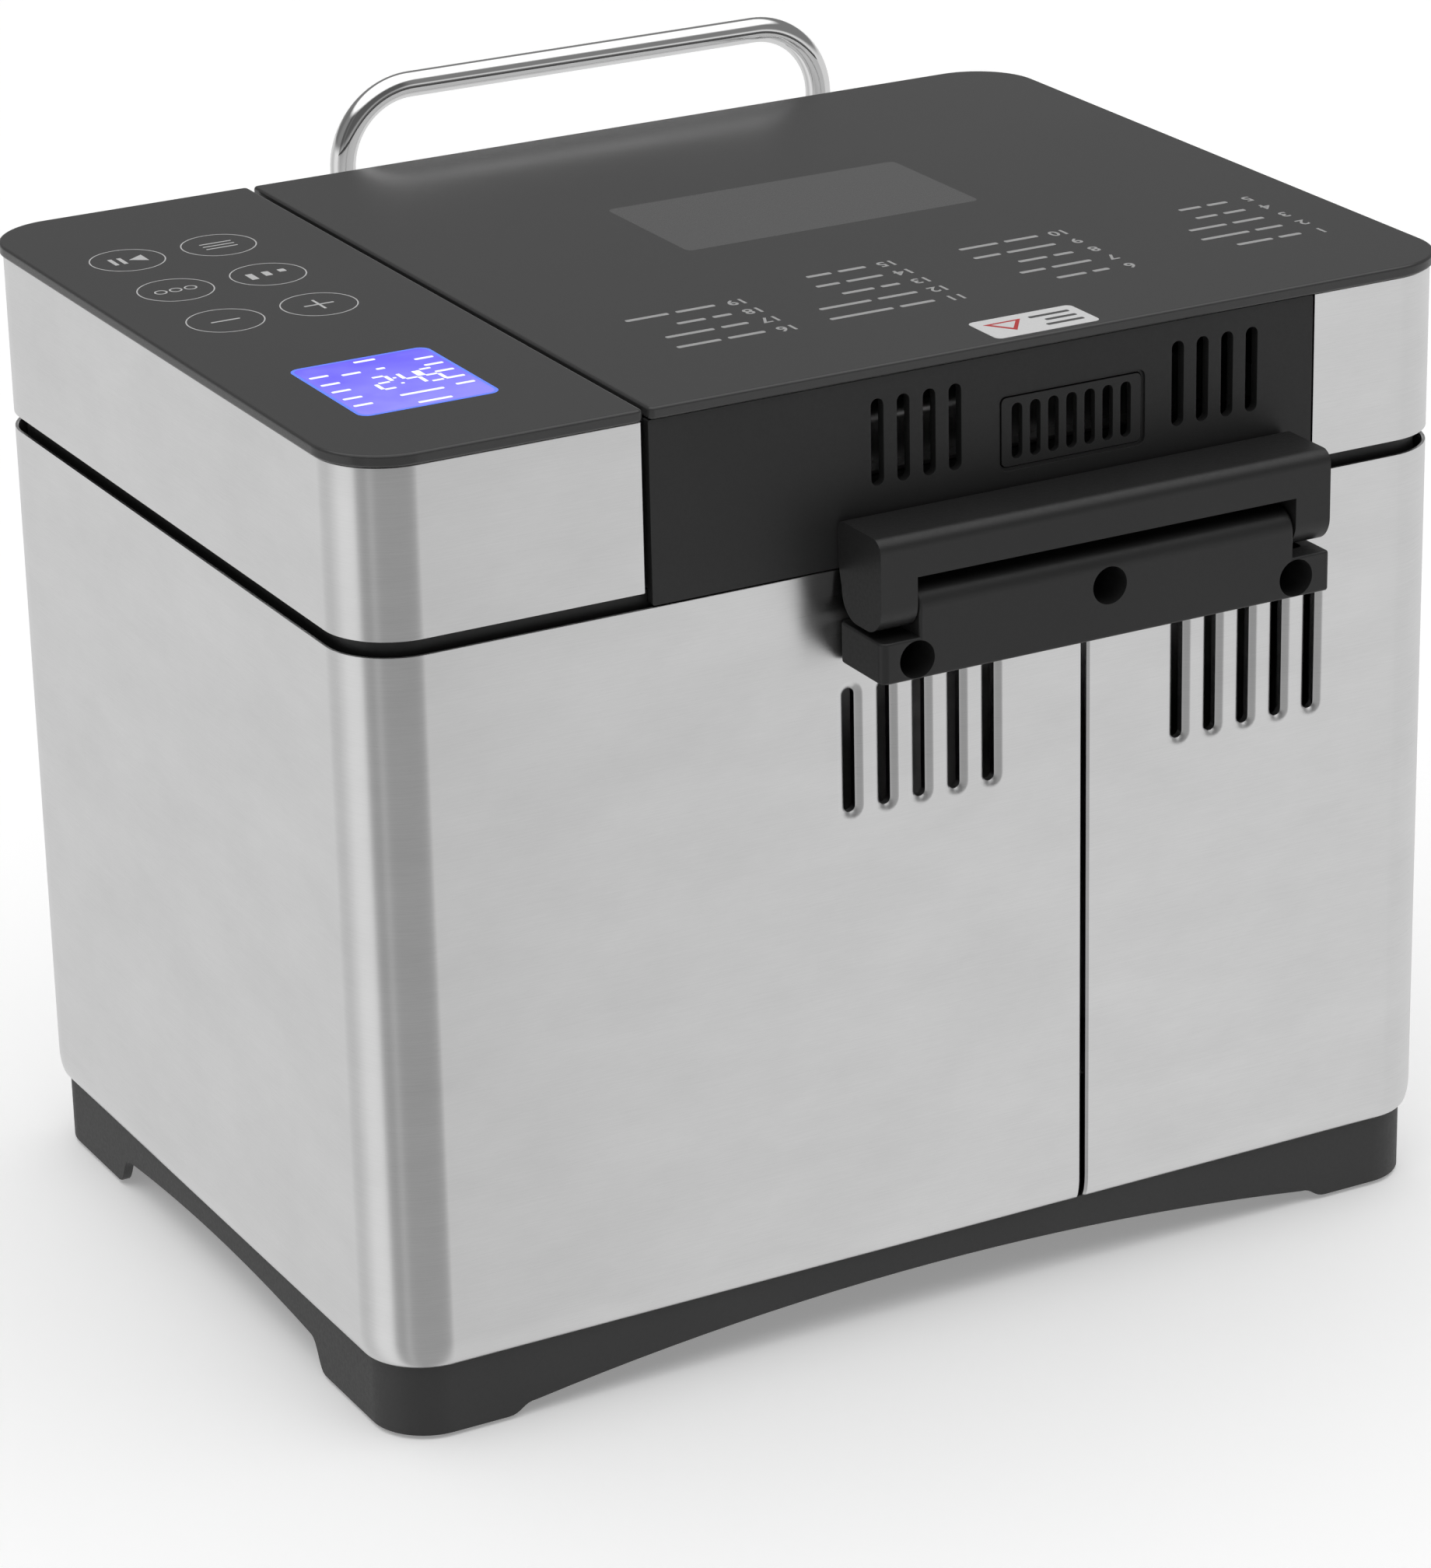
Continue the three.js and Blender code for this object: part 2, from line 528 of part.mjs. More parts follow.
// A rod along straight stretches, with a bend of the given radius at each corner.
function roundedRod(corners, radii, r, steps, sides) {
  const path = new THREE.CurvePath();
  let start = corners[0];
  for (let i = 1; i < corners.length; i++) {
    const corner = corners[i];
    if (i === corners.length - 1) {
      path.add(new THREE.LineCurve3(start, corner));
      break;
    }
    const back = corner.clone().sub(corners[i - 1]).normalize();
    const ahead = corners[i + 1].clone().sub(corner).normalize();
    const into = corner.clone().addScaledVector(back, -radii[i]);
    const from = corner.clone().addScaledVector(ahead, radii[i]);
    path.add(new THREE.LineCurve3(start, into));
    path.add(new Bend(into, corner, from));
    start = from;
  }
  const section = new THREE.Shape();
  section.absarc(0, 0, r, 0, Math.PI * 2, false);
  const settings = { steps, extrudePath: path, bevelEnabled: false, curveSegments: sides / 2 };
  return new THREE.ExtrudeGeometry(section, settings);
}

// A quarter turn between two directions at right angles.
class Bend extends THREE.Curve {
  constructor(from, corner, to) {
    super();
    this.from = from;
    this.corner = corner;
    this.to = to;
  }

  getPoint(t, target = new THREE.Vector3()) {
    const a = t * Math.PI / 2;
    const centre = this.from.clone().add(this.to).sub(this.corner);
    const u = this.from.clone().sub(centre).multiplyScalar(Math.cos(a));
    const v = this.to.clone().sub(centre).multiplyScalar(Math.sin(a));
    return target.copy(centre).add(u).add(v);
  }
}

add('oven_chamber', ovenChamber(), aluminium());
add('heating_element', heater(), zinc());
const SENSOR_LEN = 26;
add('temperature_sensor', rodX(SENSOR_R, WALL_X - SENSOR_LEN / 2 + 1, WALL_X + SENSOR_LEN / 2 + 1,
  SENSOR_Y, SENSOR_Z), zinc());

// ---------------------------------------------------------------- bread pan
const RING_WALL = 1.4;
const SEAT_H = 9;
const SEAT_T = 2.5;
const PAN_BEARING = { hub: 9, shoulder: 11, step: 4, radius: 15, height: 7.5 };
const SEAL = { radius: 7, thick: 0.6, squeeze: 0.2 };
const PAN_FLOOR = Z_PAN + PAN_T;
const WING_Z = Z_DOG + WING_UP;  // between the dog's lugs
const PADDLE = { hub: 9, height: 20, lift: 1, blade: 5, reach: 44, tip: 48, crown: 32, root: 17 };

// Shrinks a pan-shaped solid evenly towards its bottom.
function taper(geometry, z0, z1) {
  const p = geometry.attributes.position;
  for (let i = 0; i < p.count; i++) {
    const t = Math.min(1, Math.max(0, (p.getZ(i) - z0) / (z1 - z0)));
    const k = PAN_TAPER + (1 - PAN_TAPER) * t;
    p.setX(i, LID_CX + (p.getX(i) - LID_CX) * k);
    p.setY(i, p.getY(i) * k);
  }
  return geometry;
}

const PIVOT_Z = Z_RIM - BAIL_DROP;
const PIVOT_R = 2;
const PAN_END = PAN_W / 2 + PAN_T;
const BAIL_X = PAN_END + PAN_RIM + BAIL_OUT;
const EYE_T = 3;
const RIVET_HEAD_R = 4;
const RIVET_HEAD_T = 1.2;

function breadPan() {
  const grown = (by) => centredRect(LID_CX, 0, PAN_W + 2 * by, PAN_D + 2 * by, PAN_R + by);
  const outer = taper(slab(grown(PAN_T), Z_PAN, Z_RIM), Z_PAN, Z_RIM);
  const rim = slab(grown(PAN_RIM), Z_RIM - PAN_RIM_H, Z_RIM, 0.6);
  const inner = taper(slab(grown(0), PAN_FLOOR, Z_RIM + 1), Z_PAN, Z_RIM);
  const hole = rodZ(SHAFT_R + FIT, LID_CX, 0, Z_PAN - 1, PAN_FLOOR + 1);
  const pivot = rodX(PIVOT_R + FIT, LID_CX - PAN_END - PAST, LID_CX + PAN_END + PAST, 0, PIVOT_Z);
  return cut(join(outer, rim), inner, hole, pivot);
}

function paddle() {
  const base = PAN_FLOOR + PADDLE.lift;
  const hub = rodZ(PADDLE.hub, LID_CX, 0, base, base + PADDLE.height);
  const wing = new THREE.Shape();
  wing.moveTo(0, 0);
  wing.lineTo(PADDLE.reach, 0);
  wing.quadraticCurveTo(PADDLE.tip, PADDLE.crown * 0.44, PADDLE.reach * 0.77, PADDLE.crown * 0.81);
  wing.quadraticCurveTo(PADDLE.reach * 0.36, PADDLE.crown, 0, PADDLE.root);
  wing.closePath();
  const blade = slabY(wing, -PADDLE.blade / 2, PADDLE.blade / 2, 6).translate(LID_CX, 0, base + 1);
  const bore = rodZ(SHAFT_R + FIT, LID_CX, 0, base - 1, base + PADDLE.height + PAST);
  return cut(join(hub, blade), bore);
}

const seatRing = (r0, r1, z0, z1, sides = 32) =>
  lathe([[r0, z0], [r1, z0], [r1, z1], [r0, z1], [r0, z0]], LID_CX, 0, 0, sides);

function panBearing() {
  const bore = SHAFT_R + FIT;
  const { hub, shoulder, step, radius, height } = PAN_BEARING;
  const profile = [[bore, 0], [hub, 0], [shoulder, step], [radius, step], [radius, height], [bore, height],
    [bore, 0]];
  return lathe(profile, LID_CX, 0, Z_PAN - height - FIT, 20);
}

function panShaft() {
  const rod = rodZ(SHAFT_R, LID_CX, 0, WING_Z, PAN_FLOOR + PADDLE.height - 1);
  const wing = block(LID_CX - DOG_R, LID_CX + DOG_R, -WING_T / 2, WING_T / 2, WING_Z, WING_Z + WING_H);
  return join(rod, wing);
}

add('bread_pan', breadPan(), nonStick());
add('pan_base_ring', seatRing(PAN_RING_R - RING_WALL, PAN_RING_R, Z_FLOOR + FIT, Z_PAN - FIT), aluminium());
const SEAT_R = PAN_RING_R + SLIP;
add('pan_seat', seatRing(SEAT_R, SEAT_R + SEAT_T, Z_FLOOR + FIT, Z_FLOOR + SEAT_H), zinc());
add('pan_bearing', panBearing(), aluminium());
add('pan_shaft', panShaft(), zinc());
const SEAL_Z = PAN_FLOOR + FIT / 2;
add('shaft_seal', seatRing(SHAFT_R + SEAL.squeeze, SEAL.radius, SEAL_Z, SEAL_Z + SEAL.thick, 16), silicone());
add('kneading_paddle', paddle(), nonStick());

// The bail lies against the pan's front edge and turns on a rivet at each end of the pan.
function panBail() {
  const x = BAIL_X;
  const y = -(PAN_D / 2 + PAN_RIM + BAIL_GAP);
  const lift = BAIL_DROP - PAN_RIM_H - 0.5;
  const corners = [[-x, 0, 0], [-x, y, lift], [x, y, lift], [x, 0, 0]];
  const at = (p) => new THREE.Vector3(LID_CX + p[0], p[1], PIVOT_Z + p[2]);
  const rod = roundedRod(corners.map(at), [0, BAIL_BEND, BAIL_BEND, 0], BAIL_D / 2, 40, 8);
  const eyes = [-x, x].map((ex) => {
    const middle = LID_CX + ex;
    return rodX(BAIL_EYE_R, middle - EYE_T / 2, middle + EYE_T / 2, 0, PIVOT_Z);
  });
  const bore = rodX(PIVOT_R + FIT, LID_CX - x - PAST, LID_CX + x + PAST, 0, PIVOT_Z);
  return cut(join(rod, ...eyes), bore);
}

add('pan_bail', panBail(), zinc());
for (const [side, label] of [[-1, 'left'], [1, 'right']]) {
  const long = BAIL_X - PAN_END + 8;
  const stem = [[0, 0], [RIVET_HEAD_R, 0], [RIVET_HEAD_R, RIVET_HEAD_T], [PIVOT_R, RIVET_HEAD_T],
    [PIVOT_R, long],
    [0, long]];
  const rivet = lathe(stem, 0, 0, 0, 16).rotateY(-side * Math.PI / 2);
  const headX = BAIL_X + EYE_T / 2 + RIVET_HEAD_T + 0.5;
  add(`bail_rivet_${label}`, rivet, zinc(), [LID_CX + side * headX, 0, PIVOT_Z]);
}

// ---------------------------------------------------------------- drive
const BELT_Z0 = Z_PULLEY + (PULLEY_H - BELT_H) / 2;
const BELT_IN = FIT;             // the belt's inner face, off the pulley's groove
const HUB_BORE = SHAFT_R + FIT;
const FLANGE_T = 1;              // the pulleys' flanges
const GROOVE_EDGE = 1.4;
const WEB_LOW = 3.5;             // the big pulley's dished web
const WEB_HIGH = 6.5;
const RIM_T = 5;

function pulley(r, bore, cx, hub) {
  const low = r - BELT_GROOVE;
  const web = low - RIM_T;
  const rim = [[r, 0], [r, FLANGE_T], [low, GROOVE_EDGE], [low, PULLEY_H - GROOVE_EDGE],
    [r, PULLEY_H - FLANGE_T], [r, PULLEY_H]];
  const plain = [[bore, 0], ...rim, [bore, PULLEY_H], [bore, 0]];
  if (r < 2 * hub) return lathe(plain, cx, 0, Z_PULLEY, 20);
  const dished = [[bore, 0], [hub, 0], [hub, WEB_LOW], [web, WEB_LOW], [web, 0], ...rim, [web, PULLEY_H],
    [web, WEB_HIGH], [hub, WEB_HIGH], [hub, PULLEY_H], [bore, PULLEY_H], [bore, 0]];
  return lathe(dished, cx, 0, Z_PULLEY, 32);
}

// A flat belt round two pulleys of different sizes: two arcs and the straight runs between them.
function beltOutline(grow) {
  const r1 = PULLEY_R - BELT_GROOVE + BELT_IN + grow;
  const r2 = MOTOR_PULLEY_R - BELT_GROOVE + BELT_IN + grow;
  const span = MOTOR_X - LID_CX;
  const lean = Math.acos((r1 - r2) / span);
  const s = new THREE.Shape();
  s.absarc(LID_CX, 0, r1, lean, 2 * Math.PI - lean, false);
  s.absarc(MOTOR_X, 0, r2, -lean, lean, false);
  s.closePath();
  return s;
}

const beltBand = cut(slab(beltOutline(BELT_T), BELT_Z0, BELT_Z0 + BELT_H, 0, 0, 10),
  slab(beltOutline(0), BELT_Z0 - 1, BELT_Z0 + BELT_H + 1, 0, 0, 10));

add('driven_pulley', pulley(PULLEY_R, HUB_BORE, LID_CX, PULLEY_HUB_R), aluminium());
add('drive_belt', beltBand, rubber());
add('drive_shaft', rodZ(SHAFT_R, LID_CX, 0, Z_PULLEY - 2, Z_DOG + LUG_IN), zinc());
add('drive_bearing', driveBearing(), aluminium());
add('drive_dog', driveDog(), zinc());

// The bearing hangs through the chassis plate from a flange on top of it.
function driveBearing() {
  const under = BEARING_H - BEARING_FLANGE_T;
  const profile = [[HUB_BORE, 0], [BEARING_BODY_R, 0], [BEARING_BODY_R, under], [BEARING_FLANGE_R, under],
    [BEARING_FLANGE_R, BEARING_H], [HUB_BORE, BEARING_H], [HUB_BORE, 0]];
  return lathe(profile, LID_CX, 0, Z_CHASSIS_TOP - under + FIT, 20);
}

function driveDog() {
  const hub = rodZ(DOG_R, LID_CX, 0, Z_DOG, Z_DOG + DOG_H);
  const bore = rodZ(HUB_BORE, LID_CX, 0, Z_DOG - 1, Z_DOG + DOG_H + 1);
  const lugs = [-1, 1].map((s) => {
    const [y0, y1] = [s * LUG_IN, s * LUG_OUT].sort((a, b) => a - b);
    const x0 = LID_CX - LUG_W / 2;
    return block(x0, x0 + LUG_W, y0, y1, Z_DOG + DOG_H - 1, WING_Z + WING_H - 1);
  });
  return cut(join(hub, ...lugs), bore);
}

const MOTOR_Z0 = Z_CHASSIS_TOP + MOTOR_STAND;
const MOTOR_NOSE_R = 12;
const MOTOR_SOCKET = 20;         // how far the motor's shaft goes in
const BRACKET = { halfWidth: 16, beyond: 4, thick: 2, postR: 5, postIn: 12, holeR: 14 };
const CAPACITOR = { radius: 13, height: 46, chamfer: 2, beside: 22 };

function motor() {
  const bell = MOTOR_R - MOTOR_STEP;
  const profile = [[0, 0], [MOTOR_NOSE_R, 0], [MOTOR_NOSE_R, MOTOR_STEP], [bell, MOTOR_STEP],
    [bell, MOTOR_BELL_LOW], [MOTOR_R, MOTOR_BELL_LOW], [MOTOR_R, MOTOR_H - MOTOR_BELL_HIGH],
    [bell, MOTOR_H - MOTOR_BELL_HIGH], [bell, MOTOR_H - MOTOR_STEP], [MOTOR_NOSE_R - 2, MOTOR_H - MOTOR_STEP],
    [MOTOR_NOSE_R - 2, MOTOR_H], [0, MOTOR_H]];
  const socket = rodZ(MOTOR_SHAFT_R + FIT, MOTOR_X, 0, MOTOR_Z0 - 1, MOTOR_Z0 + MOTOR_SOCKET);
  return cut(lathe(profile, MOTOR_X, 0, MOTOR_Z0, 24), socket);
}

function motorBracket() {
  const z = Z_CHASSIS_TOP + FIT;
  const half = MOTOR_R + BRACKET.beyond;
  const { halfWidth, thick } = BRACKET;
  const strap = block(MOTOR_X - half, MOTOR_X + half, -halfWidth, halfWidth, z, z + thick);
  const posts = [-1, 1].map((s) => {
    const x = MOTOR_X + s * (MOTOR_R - BRACKET.postIn);
    return rodZ(BRACKET.postR, x, 0, z + thick / 2, MOTOR_Z0 + MOTOR_STEP - FIT);
  });
  return cut(join(strap, ...posts), rodZ(BRACKET.holeR, MOTOR_X, 0, z - PAST, z + PAST));
}

function motorCapacitor() {
  const { radius, height, chamfer, beside } = CAPACITOR;
  const profile = [[0, 0], [radius, 0], [radius, height - chamfer], [radius - chamfer, height], [0, height]];
  return lathe(profile, MOTOR_X + beside, -MOTOR_R - beside, Z_CHASSIS_TOP + FIT, 16);
}

add('motor_pulley', pulley(MOTOR_PULLEY_R, MOTOR_SHAFT_R + FIT, MOTOR_X, 5), zinc());
add('motor', motor(), zinc());
add('motor_shaft', rodZ(MOTOR_SHAFT_R, MOTOR_X, 0, Z_PULLEY - 1.5, MOTOR_Z0 + MOTOR_SOCKET - 2), zinc());
add('motor_bracket', motorBracket(), zinc());
add('motor_capacitor', motorCapacitor(), basePlastic());

// ---------------------------------------------------------------- control strip
const DISPLAY_CX = STRIP_CX + 2.4;
const DISPLAY_W = 42;
const DISPLAY_D = 48;
const DISPLAY_Y = 70;
const DISPLAY_H = 7;
const KEY_CX = STRIP_CX + 4;
const KEY_PITCH = 35;            // touch keys, from row to row
const KEY_GAP = 29;              // from column to column
const KEY_ROWS = 3;
const KEY_COLUMNS = 2;
const KEY_Y = -41;               // middle row
const PAD_ROD_R = 8;             // sensing pad behind each key
const BOARD_T = 1.6;
const BOARD_IN = 7;              // control board, in from the strip's sides
const TOUCH_MARGIN = 6;          // touch board, beyond the keys
const TOUCH_HALF_X = KEY_GAP / 2 + PAD_ROD_R + TOUCH_MARGIN;
const TOUCH_HALF_Y = KEY_PITCH + PAD_ROD_R + TOUCH_MARGIN;
const POWER = { up: 108, y: -20, inset: 14, halfLength: 75, height: 82, proud: 0.5 };
// Parts on the power board: depth off the board, start and end along it, bottom and top.
const POWER_PARTS = [[32, 20, 60, 8, 44], [18, -20, 0, 10, 26], [18, -48, -28, 10, 26],
  [22, -60, -20, 40, 70]];
const CARRIER_H = 8;
const CARRIER_CLEAR = 2;         // board carrier, clear of the steel

function stripOutline(inset) {
  const r = Math.max(CORNER_R - inset, 1);
  return roundRect(CONTROL_X + inset, X_RIGHT - inset, -Y_REAR + inset, Y_REAR - inset, 0, r, r, 0);
}

function controlShell() {
  const outer = slab(stripOutline(0), Z_UPPER, Z_UPPER_TOP, 0, 0, ROUND);
  const inner = slab(stripOutline(STEEL_T), Z_UPPER - 1, Z_UPPER_TOP - STEEL_T, 0, 0, ROUND);
  const halfW = DISPLAY_W / 2 + FIT;
  const halfD = DISPLAY_D / 2 + FIT;
  const display = block(DISPLAY_CX - halfW, DISPLAY_CX + halfW, DISPLAY_Y - halfD, DISPLAY_Y + halfD,
    Z_UPPER, Z_UPPER_TOP + PAST);
  const keys = block(KEY_CX - TOUCH_HALF_X - 1, KEY_CX + TOUCH_HALF_X + 1, KEY_Y - TOUCH_HALF_Y - 1,
    KEY_Y + TOUCH_HALF_Y + 1, Z_UPPER, Z_UPPER_TOP + PAST);
  return cut(outer, inner, display, keys);
}

function glassOutline(x0, x1, roundLow, roundHigh) {
  const r = CORNER_R + GLASS_OVER;
  const y = Y_REAR + GLASS_OVER;
  const low = roundLow ? r : GLASS_JOINT_R;
  const high = roundHigh ? r : GLASS_JOINT_R;
  return roundRect(x0, x1, -y, y, low, high, high, low);
}

add('control_shell', controlShell(), steel());
add('control_glass', slab(glassOutline(CONTROL_X, X_RIGHT + GLASS_OVER, false, true),
  Z_GLASS, Z_GLASS + GLASS_T, GLASS_EDGE, GLASS_EDGE, 7), blackGlass());
add('display_module', slab(centredRect(DISPLAY_CX, DISPLAY_Y, DISPLAY_W, DISPLAY_D, 0),
  Z_UPPER_TOP - DISPLAY_H, Z_UPPER_TOP), clearGlass());
add('control_board', slab(centredRect(STRIP_CX, 10, CONTROL_W - 2 * BOARD_IN, DEPTH - 60, 2),
  Z_UPPER_TOP - DISPLAY_H - FIT - BOARD_T, Z_UPPER_TOP - DISPLAY_H - FIT), board());
add('touch_sensor_board', touchBoard(), brass());

// One board behind the glass carries a sensing pad for each of the six printed keys.
function touchBoard() {
  const z = Z_UPPER_TOP - DISPLAY_H;
  const plate = block(KEY_CX - TOUCH_HALF_X, KEY_CX + TOUCH_HALF_X,
    KEY_Y - TOUCH_HALF_Y, KEY_Y + TOUCH_HALF_Y, z, z + BOARD_T);
  const pads = [];
  for (let row = 0; row < KEY_ROWS; row++) {
    for (let column = 0; column < KEY_COLUMNS; column++) {
      const x = KEY_CX + (column - (KEY_COLUMNS - 1) / 2) * KEY_GAP;
      const y = KEY_Y + (row - (KEY_ROWS - 1) / 2) * KEY_PITCH;
      pads.push(rodZ(PAD_ROD_R, x, y, z + 1, Z_UPPER_TOP));
    }
  }
  return join(plate, ...pads);
}

function powerBoard() {
  const z = Z_SHELL + POWER.up;
  const y = POWER.y;
  const x = X_RIGHT - POWER.inset;
  const plate = block(x, x + BOARD_T, y - POWER.halfLength, y + POWER.halfLength, z, z + POWER.height);
  const parts = POWER_PARTS.map(([deep, y0, y1, z0, z1]) =>
    block(x - deep, x + POWER.proud, y + y0, y + y1, z + z0, z + z1));
  return join(plate, ...parts);
}

function boardCarrier() {
  const half = POWER.halfLength + 3;
  const top = Z_SHELL + POWER.up - FIT;
  return block(X_RIGHT - POWER.inset, X_RIGHT - STEEL_T - CARRIER_CLEAR, POWER.y - half, POWER.y + half,
    top - CARRIER_H, top);
}

add('power_board', powerBoard(), board());
add('board_carrier', boardCarrier(), blackPlastic());

// ---------------------------------------------------------------- lid
const WINDOW_CX = LID_CX + WINDOW_X;
const GRILLE_CX = LID_CX - GRILLE_OFF;
const GRILLE_CZ = Z_UPPER + VENT_Z - GRILLE_DROP;
const LID_WALL_X = LID_X1 - PLASTIC_T;
const PANEL_Y = Y_REAR - PLASTIC_T;
const DOME_W = CHAMBER_W - 2 * DOME_IN_X;
const DOME_D = CHAMBER_D - 2 * DOME_IN_Y;

function lidOutline(inset) {
  const r = CORNER_R - inset;
  return roundRect(-X_RIGHT + inset, LID_X1, -Y_REAR + inset, Y_REAR - inset, r, 0, 0, r);
}

function lidShell() {
  const outer = slab(lidOutline(0), Z_UPPER, Z_UPPER_TOP, 0, 0, ROUND);
  const inner = slab(lidOutline(STEEL_T), Z_UPPER - 1, Z_UPPER_TOP + 1, 0, 0, ROUND);
  const high = Z_UPPER_TOP + PAST;
  const side = block(LID_X1 - STEEL_T - 1, LID_X1 + 1, -Y_REAR + STEEL_T, Y_REAR + 1, 0, high);
  const rear = block(LID_PANEL_X0 - SLIP, LID_X1 + 1, 0, Y_REAR + 1, 0, high);
  const holes = [-1, 1].map((s) => rodY(HANDLE_D / 2 + FIT, LID_CX + s * HANDLE_SPAN / 2,
    -Y_REAR - PAST, -Y_REAR + PAST, Z_UPPER + HANDLE_ROOT));
  return cut(outer, inner, side, rear, ...holes);
}

function lidRearPanel() {
  const panel = block(LID_PANEL_X0, LID_X1, PANEL_Y, Y_REAR, Z_UPPER - LID_PANEL_DROP, Z_UPPER_TOP);
  const tools = [];
  for (const side of [-1, 1]) {
    for (let i = 0; i < VENT_COUNT; i++) {
      const x = LID_CX + side * VENT_OFF + (i - (VENT_COUNT - 1) / 2) * VENT_PITCH;
      tools.push(slotZ(x, VENT_LEN, VENT_W, PANEL_Y - 1, Y_REAR + 1, Z_UPPER + VENT_Z));
    }
  }
  tools.push(block(GRILLE_CX - GRILLE_W / 2, GRILLE_CX + GRILLE_W / 2, PANEL_Y - 1, Y_REAR + 1,
    GRILLE_CZ - GRILLE_H / 2, GRILLE_CZ + GRILLE_H / 2));
  return cut(panel, ...tools);
}

function ventGrille() {
  const w = GRILLE_W / 2 - FIT;
  const h = GRILLE_H / 2 - FIT;
  const plate = block(GRILLE_CX - w, GRILLE_CX + w, PANEL_Y + GRILLE_BACK, Y_REAR - GRILLE_FRONT,
    GRILLE_CZ - h, GRILLE_CZ + h);
  const slots = [];
  for (let i = 0; i < GRILLE_SLOTS; i++) {
    const x = GRILLE_CX + (i - (GRILLE_SLOTS - 1) / 2) * GRILLE_PITCH;
    slots.push(slotZ(x, GRILLE_SLOT_LEN, GRILLE_SLOT_W, PANEL_Y - 1, Y_REAR + 1, GRILLE_CZ));
  }
  return cut(plate, ...slots);
}

function lidFrame() {
  const s = STEEL_T + FIT;
  const r = CORNER_R - s;
  const rear = PANEL_Y - FIT;
  const outline = roundRect(-X_RIGHT + s, LID_X1, -Y_REAR + s, rear, r, 0, 0, r - PLASTIC_T + STEEL_T);
  const plate = slab(outline, Z_FRAME, Z_FRAME + PLASTIC_T);
  const wall = block(LID_WALL_X, LID_X1, -Y_REAR + s, rear, Z_FRAME, Z_UPPER_TOP - FIT);
  const mouth = slab(centredRect(LID_CX, 0, DOME_W, DOME_D, DOME_R), Z_FRAME - 1, Z_FRAME + PLASTIC_T + 1);
  return cut(join(plate, wall), mouth);
}

function innerCover() {
  const grown = (by) => centredRect(LID_CX, 0, DOME_W + 2 * by, DOME_D + 2 * by, DOME_R + by);
  const brim = slab(grown(BRIM_W), Z_BRIM, Z_BRIM + STEEL_T);
  const crown = slab(grown(STEEL_T), Z_BRIM, Z_DOME + STEEL_T);
  const inside = slab(grown(0), Z_BRIM - 1, Z_DOME);
  const view = slab(centredRect(WINDOW_CX, WINDOW_Y, WINDOW_W, WINDOW_D, WINDOW_R), Z_BRIM, Z_DOME + PAST);
  return cut(join(brim, crown), inside, view);
}

const Z_PANE = Z_DOME + STEEL_T + FIT;
const Z_WELL = Z_PANE + PANE_T + FIT;
const rectRing = (cx, cy, w, d, r, wall, z0, z1) =>
  cut(slab(centredRect(cx, cy, w + 2 * wall, d + 2 * wall, r + wall), z0, z1),
    slab(centredRect(cx, cy, w, d, r), z0 - 1, z1 + 1));

add('lid_shell', lidShell(), steel());
add('lid_rear_panel', lidRearPanel(), blackPlastic());
add('lid_vent_grille', ventGrille(), blackPlastic());
add('lid_frame', lidFrame(), blackPlastic());
add('lid_inner_cover', innerCover(), aluminium());
const PANE_W = WINDOW_W + 2 * WINDOW_LAP;
const PANE_D = WINDOW_D + 2 * WINDOW_LAP;
add('lid_inner_pane', slab(centredRect(WINDOW_CX, WINDOW_Y, PANE_W, PANE_D, WINDOW_R + 1),
  Z_PANE, Z_PANE + PANE_T), clearGlass());
add('window_well', rectRing(WINDOW_CX, WINDOW_Y, WINDOW_W, WINDOW_D, WINDOW_R, WELL_T, Z_WELL, Z_UPPER_TOP),
  blackPlastic());
add('lid_seal', rectRing(LID_CX, 0, CHAMBER_W + 2 * STEEL_T, CHAMBER_D + 2 * STEEL_T, CHAMBER_R, SEAL_W,
  Z_DECK + STEEL_T + 2 * FIT, Z_FRAME - FIT), silicone());
add('lid_glass', slab(glassOutline(-X_RIGHT - GLASS_OVER, LID_X1, true, false),
  Z_GLASS, Z_GLASS + GLASS_T, GLASS_EDGE, GLASS_EDGE, 7), blackGlass());

// The handle leaves the lid's front, turns up, and arches over from leg to leg.
function lidHandle() {
  const x = HANDLE_SPAN / 2;
  const z0 = Z_UPPER + HANDLE_ROOT;
  const z1 = Z_UPPER + HANDLE_RISE;
  const inside = -Y_REAR + STEEL_T + HANDLE_INSIDE;
  const corners = [[-x, inside, z0], [-x, HANDLE_Y, z0], [-x, HANDLE_Y, z1],
    [x, HANDLE_Y, z1], [x, HANDLE_Y, z0], [x, inside, z0]];
  const at = (p) => new THREE.Vector3(LID_CX + p[0], p[1], p[2]);
  const radii = [0, HANDLE_ROOT_BEND, HANDLE_BEND, HANDLE_BEND, HANDLE_ROOT_BEND, 0];
  return roundedRod(corners.map(at), radii, HANDLE_D / 2, 64, 12);
}

add('lid_handle', lidHandle(), chrome());
for (const [side, label] of [[-1, 'left'], [1, 'right']]) {
  const place = [LID_CX + side * HANDLE_SPAN / 2, -Y_REAR - FIT, Z_UPPER + HANDLE_ROOT];
  const bore = HANDLE_D / 2 + FIT;
  const half = COLLAR_H / 2;
  const profile = [[bore, 0], [COLLAR_R, 0], [COLLAR_R, half], [COLLAR_R - half, COLLAR_H], [bore, COLLAR_H],
    [bore, 0]];
  add(`handle_collar_${label}`, lathe(profile, 0, 0, 0, 20).rotateX(Math.PI / 2), chrome(), place);
}

